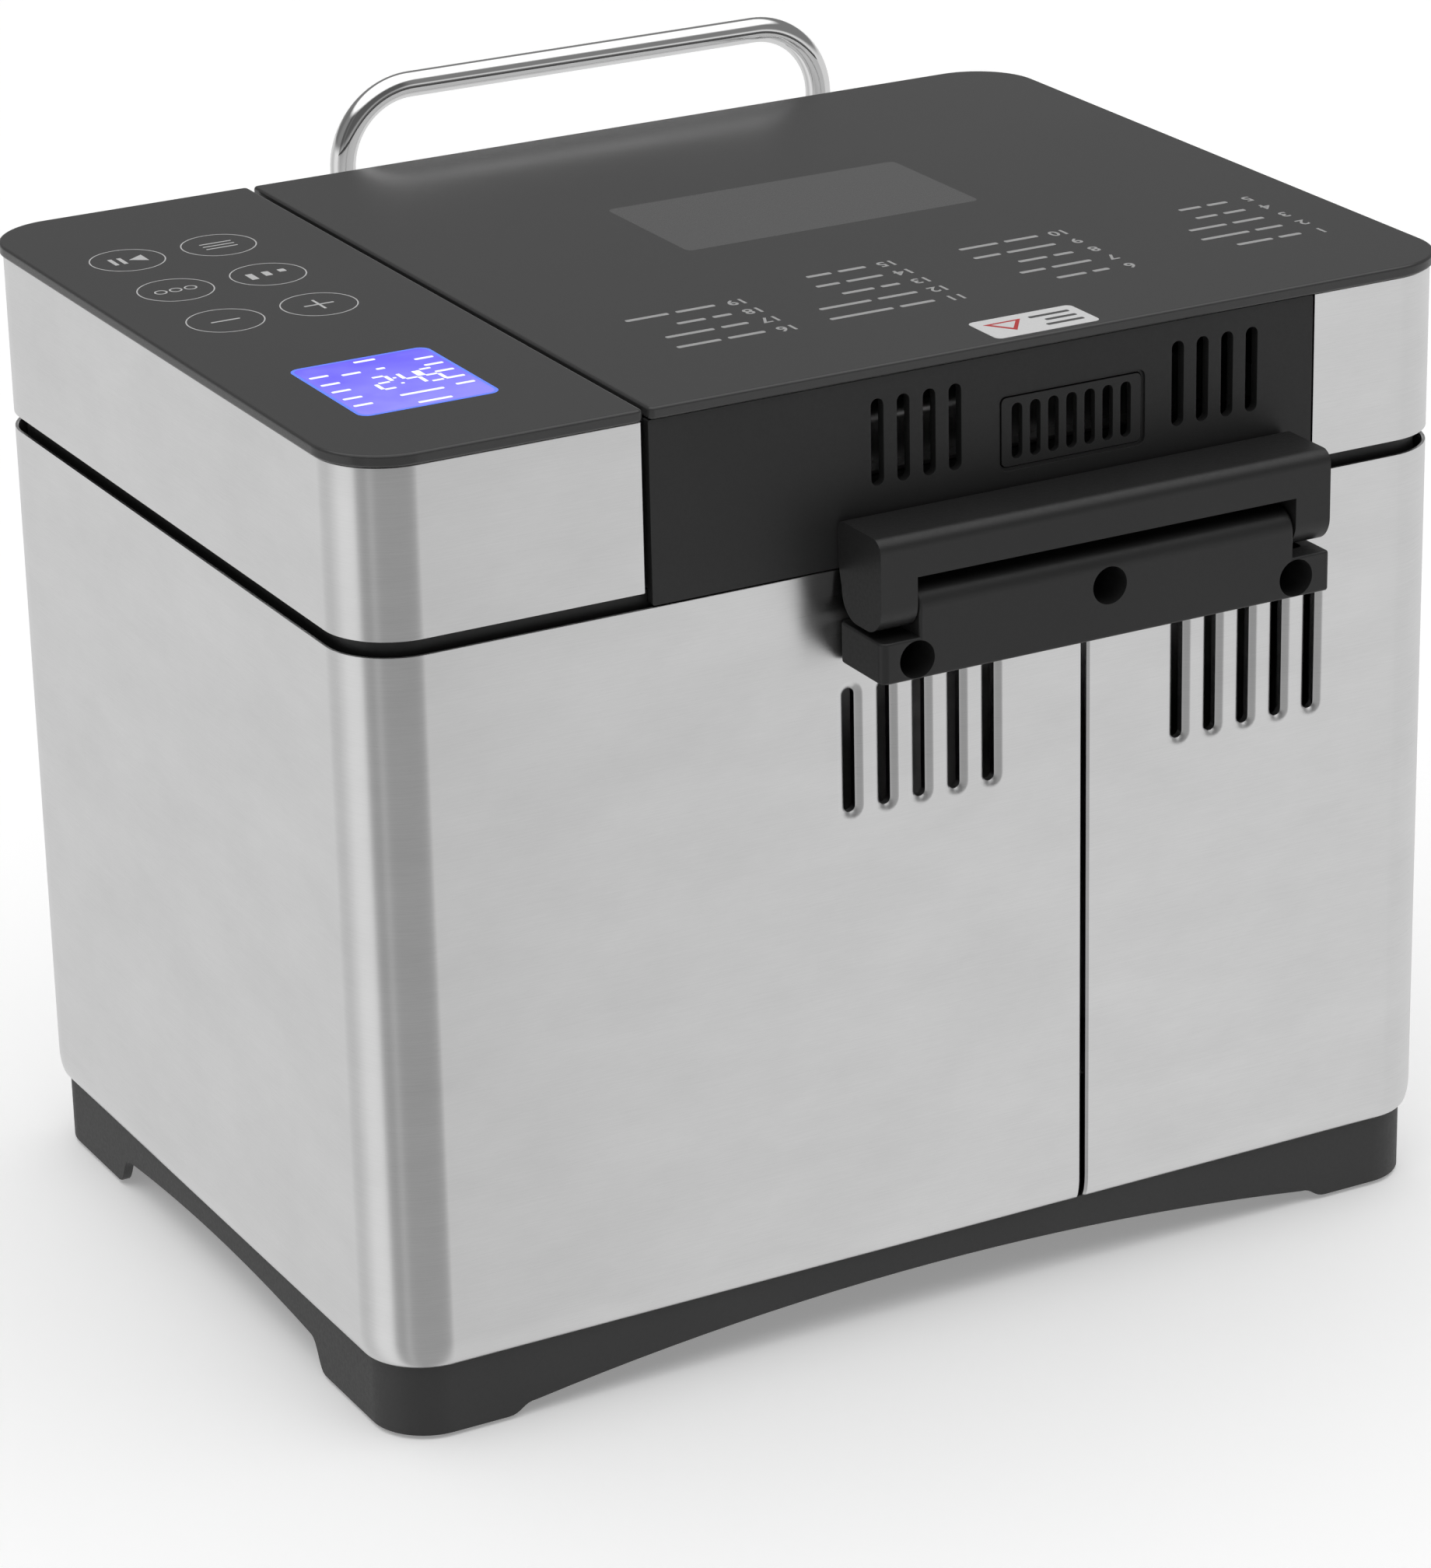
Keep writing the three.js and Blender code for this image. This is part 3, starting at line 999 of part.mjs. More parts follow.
// ---------------------------------------------------------------- hinge
// Profiles are drawn as (distance out from the rear, height above the wrap's bottom edge).
function hingeUpper() {
  const back = SLIP;
  const rear = 2;
  const front = HINGE_DEEP - HINGE_ARM_R;
  const s = new THREE.Shape();
  s.moveTo(back + rear, HINGE_TOP);
  s.absarc(back + rear, HINGE_TOP - rear, rear, Math.PI / 2, Math.PI, false);
  s.lineTo(back, HINGE_SLOT_TOP);
  s.lineTo(back + rear, HINGE_AXIS_H);
  s.absarc(back + rear + HINGE_ARM_R, HINGE_AXIS_H, HINGE_ARM_R, Math.PI, Math.PI * 1.5, false);
  s.absarc(front, HINGE_AXIS_H, HINGE_ARM_R, Math.PI * 1.5, Math.PI * 2, false);
  s.absarc(HINGE_DEEP - HINGE_ROUND, HINGE_TOP - HINGE_ROUND, HINGE_ROUND, 0, Math.PI / 2, false);
  s.closePath();
  const blank = slabX(s, HINGE_CX - HINGE_END, HINGE_CX + HINGE_END, 1.2);
  const half = HINGE_MID + SLIP;
  const slot = block(HINGE_CX - half, HINGE_CX + half, -1, HINGE_DEEP + 1, 0, HINGE_SLOT_TOP);
  const cavity = block(HINGE_CX - half, HINGE_CX + half, back + HINGE_WALL, HINGE_DEEP - HINGE_WALL,
    HINGE_SLOT_TOP - 1, HINGE_TOP - HINGE_WALL - 0.5);
  const pin = rodX(HINGE_PIN_R + FIT, HINGE_CX - HINGE_END - 1, HINGE_CX + HINGE_END + 1, HINGE_AXIS_OUT,
    HINGE_AXIS_H);
  return cut(blank, slot, cavity, pin);
}

function hingeBracket() {
  const s = new THREE.Shape();
  const top = HINGE_SLOT_TOP - HINGE_GAP;
  const chamfer = 1;
  s.moveTo(FIT, HINGE_LOW);
  s.lineTo(HINGE_DEEP - chamfer, HINGE_LOW);
  s.lineTo(HINGE_DEEP, HINGE_LOW + chamfer);
  s.absarc(HINGE_DEEP - BAR_ROUND, top - BAR_ROUND, BAR_ROUND, 0, Math.PI / 2, false);
  s.lineTo(FIT, top);
  s.closePath();
  const middle = slabX(s, HINGE_CX - HINGE_MID, HINGE_CX + HINGE_MID, 0.6);
  const shelf = slab(roundRect(HINGE_CX - HINGE_END, HINGE_CX + HINGE_END, FIT, HINGE_DEEP, 1.5, 3, 3, 1.5),
    HINGE_LOW, HINGE_SHELF, 0.8);
  const tools = hingeScrews.flatMap(([x, z]) => [
    rodY(HINGE_BORE_R, x, HINGE_DEEP - HINGE_BORE_DEEP, HINGE_DEEP + 1, z, 20),
    rodY(SCREW_R + FIT, x, -1, HINGE_DEEP, z),
  ]);
  for (const side of [-1, 1]) {
    const end = HINGE_CX + side * HINGE_MID;
    const [x0, x1] = [end - side * HINGE_PIN_SEAT, end + side * 2].sort((a, b) => a - b);
    tools.push(rodX(HINGE_PIN_R + FIT, x0, x1, HINGE_AXIS_OUT, HINGE_AXIS_H));
  }
  return cut(join(middle, shelf), ...tools);
}

const HINGE_PLACE = [0, Y_REAR, Z_SHELL];
const BACKING_T = 2;
const BACKING_BELOW = 6;         // backing plate, below the bracket's underside
add('hinge_bracket', hingeBracket(), basePlastic(), HINGE_PLACE);
add('hinge_upper', hingeUpper(), blackPlastic(), HINGE_PLACE);
for (const [side, label] of [[-1, 'left'], [1, 'right']]) {
  const outer = HINGE_CX + side * (HINGE_END - 0.5);
  const ends = [outer, outer - side * HINGE_PIN_LEN].sort((a, b) => a - b);
  const pin = rodX(HINGE_PIN_R, ends[0], ends[1], HINGE_AXIS_OUT, HINGE_AXIS_H);
  add(`hinge_pin_${label}`, pin, zinc(), HINGE_PLACE);
}
hingeScrews.forEach(([x, z], i) => {
  const shank = HINGE_DEEP - HINGE_BORE_DEEP + STEEL_T + SCREW_GRIP;
  const high = shank + SCREW_HEAD_H;
  const profile = [[0, 0], [SCREW_R, 0], [SCREW_R, shank], [SCREW_HEAD_R, shank], [SCREW_HEAD_R, high - 1],
    [SCREW_HEAD_R - 1, high], [0, high]];
  const screw = lathe(profile, 0, 0, 0, 14).rotateX(-Math.PI / 2);
  const y = Y_REAR + HINGE_DEEP - HINGE_BORE_DEEP + FIT - shank;
  add(`hinge_screw_${i + 1}`, screw, zinc(), [x, y, Z_SHELL + z]);
});

function backingPlate() {
  const inside = Y_REAR - STEEL_T - FIT;
  const plate = block(HINGE_CX - HINGE_END, HINGE_CX + HINGE_END, inside - BACKING_T, inside,
    Z_SHELL + HINGE_LOW - BACKING_BELOW, Z_DECK - DECK_T - FIT);
  const holes = hingeScrews.map(([x, z]) => rodY(SCREW_R + FIT, x, inside - PAST, Y_REAR, Z_SHELL + z));
  return cut(plate, ...holes);
}

add('hinge_backing_plate', backingPlate(), zinc());

export default machine;
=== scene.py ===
"""Looks of the bread machine: steel shells, printed glass, moulded hinge and the parts inside.

Lengths are millimetres until a mesh is made. The user stands at -Y and the hinge is at +Y.
"""

import math
import random
from collections import namedtuple

import bmesh
import bpy
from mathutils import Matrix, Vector


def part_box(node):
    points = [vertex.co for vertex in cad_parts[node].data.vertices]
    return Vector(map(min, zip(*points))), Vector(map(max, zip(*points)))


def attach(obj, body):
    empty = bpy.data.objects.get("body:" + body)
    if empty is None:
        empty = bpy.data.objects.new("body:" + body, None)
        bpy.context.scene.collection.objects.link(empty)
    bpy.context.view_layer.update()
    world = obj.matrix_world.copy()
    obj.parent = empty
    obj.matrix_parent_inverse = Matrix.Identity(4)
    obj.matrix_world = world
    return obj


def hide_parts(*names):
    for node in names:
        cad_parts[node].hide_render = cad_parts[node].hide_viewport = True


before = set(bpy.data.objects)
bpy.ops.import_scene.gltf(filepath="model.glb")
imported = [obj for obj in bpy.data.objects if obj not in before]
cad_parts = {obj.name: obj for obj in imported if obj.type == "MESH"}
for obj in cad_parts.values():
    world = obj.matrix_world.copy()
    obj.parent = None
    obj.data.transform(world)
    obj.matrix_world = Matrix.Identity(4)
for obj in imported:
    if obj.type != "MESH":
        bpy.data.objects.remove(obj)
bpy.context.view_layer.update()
MM = 0.001
SEED = 7


def corners(node):
    """Lowest and highest corner of a CAD node, in millimetres."""
    low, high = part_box(node)
    return low / MM, high / MM


Place = namedtuple("Place", "x y z")


def middle_of(name):
    """The middle of a CAD node, in millimetres."""
    low, high = corners(name)
    return Place(*((a + b) / 2 for a, b in zip(low, high)))


# ---------------------------------------------------------------- materials
EVEN = (1, 1, 1)
NOISE_LOW, NOISE_HIGH = 0.3, 0.7     # nearly all of a noise lies between these


def wire(tree, sockets, values):
    """Gives each named socket a value, or a link where the value is another node's output."""
    for name, value in values.items():
        if isinstance(value, bpy.types.NodeSocket):
            tree.links.new(value, sockets[name])
        else:
            sockets[name].default_value = value


def node(tree, kind, inputs=None, output=0, **settings):
    """Adds a shader node and gives one of its outputs."""
    made = tree.nodes.new("ShaderNode" + kind)
    for name, value in settings.items():
        setattr(made, name, value)
    wire(tree, made.inputs, inputs or {})
    return made.outputs[output]


def new_material(name, colour, roughness, metallic=0.0):
    """A material, its node tree and the inputs of its Principled shader."""
    material = bpy.data.materials.new(name)
    material.use_nodes = True
    tree = material.node_tree
    shader = tree.nodes["Principled BSDF"].inputs
    wire(tree, shader, {"Base Color": (*colour, 1), "Roughness": roughness, "Metallic": metallic})
    return material, tree, shader


def place(tree, stretch=EVEN):
    """Object coordinates, scaled so that a pattern is longer in one direction."""
    where = node(tree, "TexCoord", output="Object")
    return node(tree, "Mapping", {"Vector": where, "Scale": stretch})


def noise(tree, vector, scale, detail=3.0, roughness=0.5):
    """Fine or broad random variation."""
    return node(tree, "TexNoise", {"Vector": vector, "Scale": scale, "Detail": detail,
                                   "Roughness": roughness}, "Fac")


def ramp(tree, value, start, end, low=0.0, high=1.0, easing="LINEAR"):
    """Turns the range start to end into low to high, and holds beyond it."""
    return node(tree, "MapRange", {"Value": value, "From Min": start, "From Max": end, "To Min": low,
                                   "To Max": high}, interpolation_type=easing)


def spread(tree, value, low, high):
    """Turns a noise into the range low to high."""
    return ramp(tree, value, NOISE_LOW, NOISE_HIGH, low, high)


def combine(tree, first, second, operation="ADD"):
    return node(tree, "Math", {0: first, 1: second}, operation=operation)


def shade_between(tree, value, dark, light):
    """A colour that wanders between two shades."""
    return node(tree, "Mix", {"A": (*dark, 1), "B": (*light, 1), "Factor": value}, "Result",
                data_type="RGBA")


def bump(tree, value, strength, distance=0.0001):
    """Fine relief from a pattern."""
    return node(tree, "Bump", {"Strength": strength, "Distance": distance, "Height": value}, "Normal")


def grey(level):
    return (level, level, level)


def brushed_steel(name, level=0.80, roughness=0.3, cloud=0.03, streak=0.035):
    """Steel brushed level round the body: long fine streaks over a faint cloudiness."""
    material, tree, shader = new_material(name, grey(level), roughness, 1.0)
    lines = noise(tree, place(tree, (70, 70, 4200)), 1.0, 6.0, 0.75)
    clouds = noise(tree, place(tree, (1, 1, 2)), 22.0, 5.0, 0.65)
    total = combine(tree, spread(tree, lines, -streak, streak), spread(tree, clouds, -cloud, cloud))
    half = 0.5
    centred_total = combine(tree, total, half)
    wire(tree, shader, {
        "Base Color": shade_between(tree, centred_total, grey(level - half), grey(level + half)),
        "Roughness": spread(tree, lines, roughness - 0.03, roughness + 0.03),
        "Anisotropic": 0.75,
        "Anisotropic Rotation": 0.25,
        "Tangent": node(tree, "Tangent", direction_type="RADIAL", axis="Z"),
        "Normal": bump(tree, lines, 0.04, 0.0002)})
    return material


def moulded(name, level, roughness, grain=900.0, relief=0.12):
    """Moulded plastic with a fine spark-eroded grain and a faint unevenness of shade."""
    material, tree, shader = new_material(name, grey(level), roughness)
    fine = noise(tree, place(tree), grain, 2.0)
    broad = noise(tree, place(tree), 18.0, 2.0)
    wire(tree, shader, {
        "Specular IOR Level": 0.4,
        "Base Color": shade_between(tree, broad, grey(level * 0.9), grey(level * 1.1)),
        "Roughness": spread(tree, fine, roughness - 0.05, roughness + 0.05),
        "Normal": bump(tree, fine, relief)})
    return material


def printed_glass(name, level=0.047):
    """Glass printed dark on its underside, with a polished face that is not quite clean."""
    material, tree, shader = new_material(name, grey(level), 0.16)
    smear = noise(tree, place(tree), 9.0, 4.0)
    specks = noise(tree, place(tree), 600.0, 1.0)
    wire(tree, shader, {
        "Specular IOR Level": 0.35,
        "Roughness": spread(tree, smear, 0.13, 0.2),
        "Base Color": shade_between(tree, specks, grey(level * 0.96), grey(level * 1.04))})
    return material


def ink(name, colour, glow=0.0, roughness=0.4):
    """Screen-printed ink: slightly uneven in strength, a little rougher than the glass."""
    material, tree, shader = new_material(name, colour, roughness)
    grains = noise(tree, place(tree), 2500.0, 2.0)
    low = tuple(c * 0.9 for c in colour)
    high = tuple(min(1.0, c * 1.08) for c in colour)
    wire(tree, shader, {"Base Color": shade_between(tree, grains, low, high)})
    if glow:
        wire(tree, shader, {"Emission Color": (*colour, 1), "Emission Strength": glow})
    return material


def polished_chrome(name):
    material, tree, shader = new_material(name, grey(0.82), 0.05, 1.0)
    haze = noise(tree, place(tree), 60.0)
    wire(tree, shader, {
        "Roughness": spread(tree, haze, 0.035, 0.075),
        "Base Color": shade_between(tree, haze, grey(0.79), grey(0.85))})
    return material


def bare_metal(name, level, roughness, grain=350.0):
    """Plated or cast metal with a fine uneven finish."""
    material, tree, shader = new_material(name, grey(level), roughness, 1.0)
    fine = noise(tree, place(tree), grain)
    broad = noise(tree, place(tree), 25.0, 2.0)
    wire(tree, shader, {
        "Base Color": shade_between(tree, broad, grey(level * 0.9), grey(level * 1.08)),
        "Roughness": spread(tree, fine, roughness - 0.08, roughness + 0.08),
        "Normal": bump(tree, fine, 0.08)})
    return material


def coated_pan(name):
    """Dark non-stick coating with the pale fleck of a sprayed finish."""
    material, tree, shader = new_material(name, grey(0.03), 0.42)
    vector = place(tree)
    flecks = tree.nodes.new("ShaderNodeValToRGB")
    wire(tree, flecks.inputs, {
        "Fac": node(tree, "TexVoronoi", {"Vector": vector, "Scale": 620.0}, "Distance")})
    stops = ((0.06, (0.2, 0.2, 0.2, 1)), (0.2, (0.026, 0.026, 0.028, 1)))
    for stop, (position, colour) in zip(flecks.color_ramp.elements, stops):
        stop.position = position
        stop.color = colour
    wire(tree, shader, {"Base Color": flecks.outputs["Color"],
                        "Normal": bump(tree, noise(tree, vector, 700.0, 2.0), 0.15)})
    return material


def circuit_board(name):
    """Green lacquer over copper tracks."""
    material, tree, shader = new_material(name, (0.01, 0.09, 0.035), 0.35)
    wire(tree, shader, {"Base Color": node(tree, "TexBrick", {
        "Vector": place(tree),
        "Scale": 160.0,
        "Mortar Size": 0.06,
        "Color1": (0.008, 0.085, 0.03, 1),
        "Color2": (0.011, 0.1, 0.038, 1),
        "Mortar": (0.03, 0.2, 0.07, 1)}, "Color")})
    return material


def clear_pane(name):
    material, tree, shader = new_material(name, grey(0.95), 0.04)
    smear = noise(tree, place(tree), 12.0)
    wire(tree, shader, {"Transmission Weight": 1.0, "Roughness": spread(tree, smear, 0.02, 0.08)})
    return material


def backlit_panel(name, low, high):
    """The display's blue light, deeper at the far edge and paler near the middle."""
    material, tree, shader = new_material(name, (0.1, 0.1, 0.9), 0.25)
    where = node(tree, "TexCoord", output="Object")
    across = node(tree, "SeparateXYZ", {"Vector": where}, "Y")
    patches = spread(tree, noise(tree, place(tree), 70.0, 2.0), -0.25, 0.25)
    total = combine(tree, ramp(tree, across, low * MM, high * MM), patches)
    colour = shade_between(tree, total, (0.115, 0.092, 0.85), (0.22, 0.205, 0.76))
    wire(tree, shader, {"Base Color": colour, "Emission Color": colour, "Emission Strength": 0.62})
    return material


STEEL = brushed_steel("brushed_steel")
BLACK = moulded("black_plastic", 0.021, 0.42)
PANEL = moulded("panel_plastic", 0.022, 0.5, 1300.0, 0.08)
CHARCOAL = moulded("charcoal_plastic", 0.045, 0.55)
GLASS = printed_glass("printed_glass")
CHROME = polished_chrome("polished_chrome")
RUBBER = moulded("black_rubber", 0.012, 0.8, 500.0, 0.3)
SILICONE = moulded("grey_silicone", 0.16, 0.7, 300.0, 0.1)
ZINC = bare_metal("zinc_plated", 0.55, 0.38)
ALUMINIUM = bare_metal("aluminium", 0.62, 0.36, 220.0)
COATED = coated_pan("non_stick")
BOARD = circuit_board("circuit_board")
BRASS = bare_metal("sensor_brass", 0.5, 0.35)
HEATER = bare_metal("heater_sheath", 0.24, 0.5)
CLEAR = clear_pane("clear_pane")

FINISHES = {
    "brushed_steel": STEEL,
    "black_plastic": BLACK,
    "charcoal_plastic": CHARCOAL,
    "black_glass": GLASS,
    "clear_glass": CLEAR,
    "display": CLEAR,
    "chrome": CHROME,
    "rubber": RUBBER,
    "silicone": SILICONE,
    "zinc_steel": ZINC,
    "aluminium": ALUMINIUM,
    "non_stick": COATED,
    "circuit_board": BOARD,
    "sensor_brass": BRASS,
}


# ---------------------------------------------------------------- mesh helpers
# A shape is a pair: a list of points and a list of faces that index them.
def merge(*shapes):
    points, faces = [], []
    for more, rings in shapes:
        start = len(points)
        points.extend(more)
        faces.extend([tuple(start + i for i in ring) for ring in rings])
    return points, faces


def round_rect(x0, x1, y0, y1, radii, steps=14):
    """Outline points, anticlockwise. Corners go (x0, y0), (x1, y0), (x1, y1), (x0, y1)."""
    if not isinstance(radii, (tuple, list)):
        radii = (radii,) * 4
    middles = ((x0, y0, 1, 1, 180), (x1, y0, -1, 1, 270), (x1, y1, -1, -1, 0), (x0, y1, 1, -1, 90))
    points = []
    for (x, y, sx, sy, start), radius in zip(middles, radii):
        count = steps if radius > 3 else 5
        for i in range(count + 1):
            angle = math.radians(start + 90 * i / count)
            points.append((x + sx * radius + radius * math.cos(angle),
                           y + sy * radius + radius * math.sin(angle)))
    return points


def inset_rect(low, high, inset, radii, steps=14):
    """The outline between two corners, drawn in by a distance."""
    return round_rect(low[0] + inset, high[0] - inset, low[1] + inset, high[1] - inset, radii, steps)


def inset_rect_xz(low, high, inset, radii):
    return round_rect(low.x + inset, high.x - inset, low.z + inset, high.z - inset, radii)


def centred(cx, cy, width, depth, radius, steps=14):
    return round_rect(cx - width / 2, cx + width / 2, cy - depth / 2, cy + depth / 2, radius, steps)


def loft(rings, caps=True, joined=False):
    """Skins rings of equal length, one after another. joined runs the last into the first."""
    count = len(rings[0])
    points = [p for ring in rings for p in ring]
    faces = []
    spans = len(rings) if joined else len(rings) - 1
    for k in range(spans):
        a = k * count
        b = ((k + 1) % len(rings)) * count
        for i in range(count):
            j = (i + 1) % count
            faces.append((a + i, a + j, b + j, b + i))
    if caps and not joined:
        faces.append(tuple(reversed(range(count))))
        faces.append(tuple(range((len(rings) - 1) * count, len(rings) * count)))
    return points, faces


def quarter(size, steps):
    """Steps of a rounded edge: pairs of how far in and how far up, from the end to the side."""
    turns = [math.pi / 2 * i / steps for i in range(steps + 1)]
    return [(size * (1 - math.sin(a)), size * (1 - math.cos(a))) for a in turns]


def plate(outline, z0, z1, edge=0.0, steps=4):
    """A plate between two heights. outline(inset) gives the points; edge rounds both rims."""
    if not edge:
        return loft([[(x, y, z) for x, y in outline(0)] for z in (z0, z1)])
    rounding = quarter(edge, steps)
    rings = [[(x, y, z0 + up) for x, y in outline(into)] for into, up in rounding]
    rings += [[(x, y, z1 - up) for x, y in outline(into)] for into, up in reversed(rounding)]
    return loft(rings)


def prism(outline, z0, z1):
    """A plate with one outline all the way up."""
    return plate(lambda inset: outline, z0, z1)


def box(x0, x1, y0, y1, z0, z1):
    return prism([(x0, y0), (x1, y0), (x1, y1), (x0, y1)], z0, z1)


def stand_y(shape):
    """Turns a shape drawn as (x, z, y) so that its thickness runs along Y."""
    points, faces = shape
    return [(x, z, y) for x, y, z in points], [tuple(reversed(f)) for f in faces]


def stand_x(shape):
    """Turns a shape drawn as (y, z, x) so that its thickness runs along X."""
    points, faces = shape
    return [(z, x, y) for x, y, z in points], faces


def lathe(profile, centre, axis="Z", sides=48):
    """Turns (radius, height) pairs about an axis through centre. A radius of 0 closes an end."""
    cx, cy, cz = centre
    rings = []
    for i in range(sides):
        a = 2 * math.pi * i / sides
        c, s = math.cos(a), math.sin(a)
        if axis == "Z":
            rings.append([(cx + r * c, cy + r * s, cz + h) for r, h in profile])
        elif axis == "Y":
            rings.append([(cx + r * s, cy + h, cz + r * c) for r, h in profile])
        else:
            rings.append([(cx + h, cy + r * c, cz + r * s) for r, h in profile])
    return loft(rings, joined=True)


def rod(radius, start, end, centre, axis="Z", sides=24):
    """A straight round bar between two distances along an axis through centre."""
    return lathe([(0, start), (radius, start), (radius, end), (0, end)], centre, axis, sides)


def tube(path, radius, sides=24):
    """A round rod along a list of points, closed at its ends."""
    path = [Vector(p) for p in path]
    last = len(path) - 1
    ahead = [(path[min(i + 1, last)] - path[max(i - 1, 0)]).normalized() for i in range(last + 1)]
    side = ahead[0].orthogonal().normalized()
    rings = []
    for point, direction in zip(path, ahead):
        side = (side - direction * side.dot(direction)).normalized()
        other = direction.cross(side)
        rings.append([tuple(point + radius * (math.cos(a) * side + math.sin(a) * other))
                      for a in (2 * math.pi * i / sides for i in range(sides))])
    return loft(rings)


def bent_path(places, radii, steps=14):
    """Straight runs between places, with a round bend of the given radius at each one between."""
    places = [Vector(p) for p in places]
    path = [places[0]]
    for before, here, after, radius in zip(places, places[1:], places[2:], radii):
        back = (before - here).normalized()
        on = (after - here).normalized()
        half = back.angle(on) / 2
        reach = radius / math.tan(half)
        centre = here + (back + on).normalized() * (radius / math.sin(half))
        start = here + back * reach - centre
        end = here + on * reach - centre
        whole = start.angle(end)
        for i in range(steps + 1):
            t = whole * i / steps
            path.append(centre + (start * math.sin(whole - t) + end * math.sin(t)) / math.sin(whole))
    path.append(places[-1])
    return path


def stadium(cx, cz, length, width, grow=0.0, steps=10):
    """An upright slot's outline in X and Z, with round ends."""
    r = width / 2 + grow
    half = length / 2 - width / 2
    top = [(cx + r * math.cos(a), cz + half + r * math.sin(a))
           for a in (math.pi * i / steps for i in range(steps + 1))]
    low = [(cx - r * math.cos(a), cz - half - r * math.sin(a))
           for a in (math.pi * i / steps for i in range(steps + 1))]
    return top + low


def slot_tool(cx, cz, length, width, y0, y1, grow=0.0):
    return stand_y(prism(stadium(cx, cz, length, width, grow), y0, y1))


def as_mesh(name, shape, weld=True):
    """A mesh in metres with its faces turned outward. weld joins points that coincide."""
    points, faces = shape
    mesh = bpy.data.meshes.new(name)
    mesh.from_pydata([Vector(p) * MM for p in points], [], faces)
    work = bmesh.new()
    work.from_mesh(mesh)
    if weld:
        bmesh.ops.remove_doubles(work, verts=work.verts, dist=1e-6)
    bmesh.ops.recalc_face_normals(work, faces=work.faces)
    work.to_mesh(mesh)
    work.free()
    return mesh


def add_modifiers(owner, steps):
    """Each step is a modifier's type and its settings."""
    for kind, settings in steps:
        modifier = owner.modifiers.new(kind.lower(), kind)
        for key, value in settings.items():
            setattr(modifier, key, value)


def linked(name, data):
    """A new object in the scene."""
    made = bpy.data.objects.new(name, data)
    bpy.context.scene.collection.objects.link(made)
    return made


def take_shape(helper):
    """The shape of a helper object as its modifiers leave it. The helper is removed."""
    graph = bpy.context.evaluated_depsgraph_get()
    made = helper.evaluated_get(graph).to_mesh()
    points = [tuple(v.co / MM) for v in made.vertices]
    faces = [tuple(p.vertices) for p in made.polygons]
    bpy.data.objects.remove(helper)
    return points, faces


def worked(shape, *steps):
    """The shape after some modifiers."""
    helper = linked("helper", as_mesh("helper", shape))
    add_modifiers(helper, steps)
    return take_shape(helper)


def carved(shape, *tools, operation="DIFFERENCE"):
    """The shape with the tools cut away."""
    tool = linked("tool", as_mesh("tool", merge(*tools)))
    settings = {"operation": operation, "solver": "MANIFOLD", "object": tool}
    result = worked(shape, ("BOOLEAN", settings))
    bpy.data.objects.remove(tool)
    return result


def eased(shape, width, segments=2, angle=30):
    """The shape with its sharp edges rounded."""
    settings = {"width": width * MM, "segments": segments, "limit_method": "ANGLE",
                "angle_limit": math.radians(angle), "use_clamp_overlap": True}
    return worked(shape, ("BEVEL", settings))


def piece(name, shape, material, body, replaces=(), sharp=32, weighted=True, weld=True):
    """Adds a finished piece that rides on a CAD body."""
    mesh = as_mesh(name, shape, weld)
    mesh.materials.append(material)
    made = linked(name, mesh)
    mesh.shade_smooth()
    mesh.set_sharp_from_angle(angle=math.radians(sharp))
    if weighted:
        add_modifiers(made, [("WEIGHTED_NORMAL", {"keep_sharp": True, "weight": 90})])
    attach(made, body)
    if replaces:
        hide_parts(*replaces)
    return made


# ---------------------------------------------------------------- where things are
WRAP_LO, WRAP_HI = corners("body_wrap")
STRIP_LO, STRIP_HI = corners("control_shell")
LID_LO, LID_HI = corners("lid_shell")
LID_GLASS_LO, LID_GLASS_HI = corners("lid_glass")
STRIP_GLASS_LO, STRIP_GLASS_HI = corners("control_glass")
PANEL_LO, PANEL_HI = corners("lid_rear_panel")
GRILLE_LO, GRILLE_HI = corners("lid_vent_grille")
MID_Y = (WRAP_LO.y + WRAP_HI.y) / 2
LID_CX = (LID_LO.x + PANEL_HI.x) / 2
CORNER_R = 20.0
SHEET = 1.0          # steel sheet, and the pressed sheet of the inside
HANDLE_R = 4.0       # the handle's rod
HANDLE_ROOT = 22.0   # the rod enters the lid's front at this height
FIT = 0.3            # small air gap between shown pieces


def sheet_corner(cx, cy, radius, angle, steps=18):
    """A quarter turn of a steel wrap, as points of a path for sheet_wall."""
    turns = [math.radians(angle + 90 * i / steps) for i in range(steps + 1)]
    return [(cx + radius * math.cos(a), cy + radius * math.sin(a), math.cos(a), math.sin(a), 0.0)
            for a in turns]


def sheet_path(x0, x1, y0, y1, radius, start, end, roll):
    """Points round a steel wrap from a start on the rear, anticlockwise, to an end on the rear.

    Each is a place, the way out of the wall there, and how far the edge has rolled in.
    """
    sines = [math.sin(math.pi / 2 * i / 4) for i in range(5)]
    path = [(start - roll * sine, y1, 0.0, 1.0, roll * (1 - sine)) for sine in sines]
    middles = ((x0 + radius, y1 - radius, 90), (x0 + radius, y0 + radius, 180),
               (x1 - radius, y0 + radius, 270), (x1 - radius, y1 - radius, 0))
    for cx, cy, angle in middles:
        path += sheet_corner(cx, cy, radius, angle)
    path += [(end + roll * sine, y1, 0.0, 1.0, roll * (1 - sine)) for sine in reversed(sines)]
    return path


def sheet_wall(path, section):
    """Sweeps a section of (out, height) pairs along a path made by sheet_path."""
    rings = [[(x + nx * (out - rolled), y + ny * (out - rolled), z) for out, z in section]
             for x, y, nx, ny, rolled in path]
    return loft(rings)


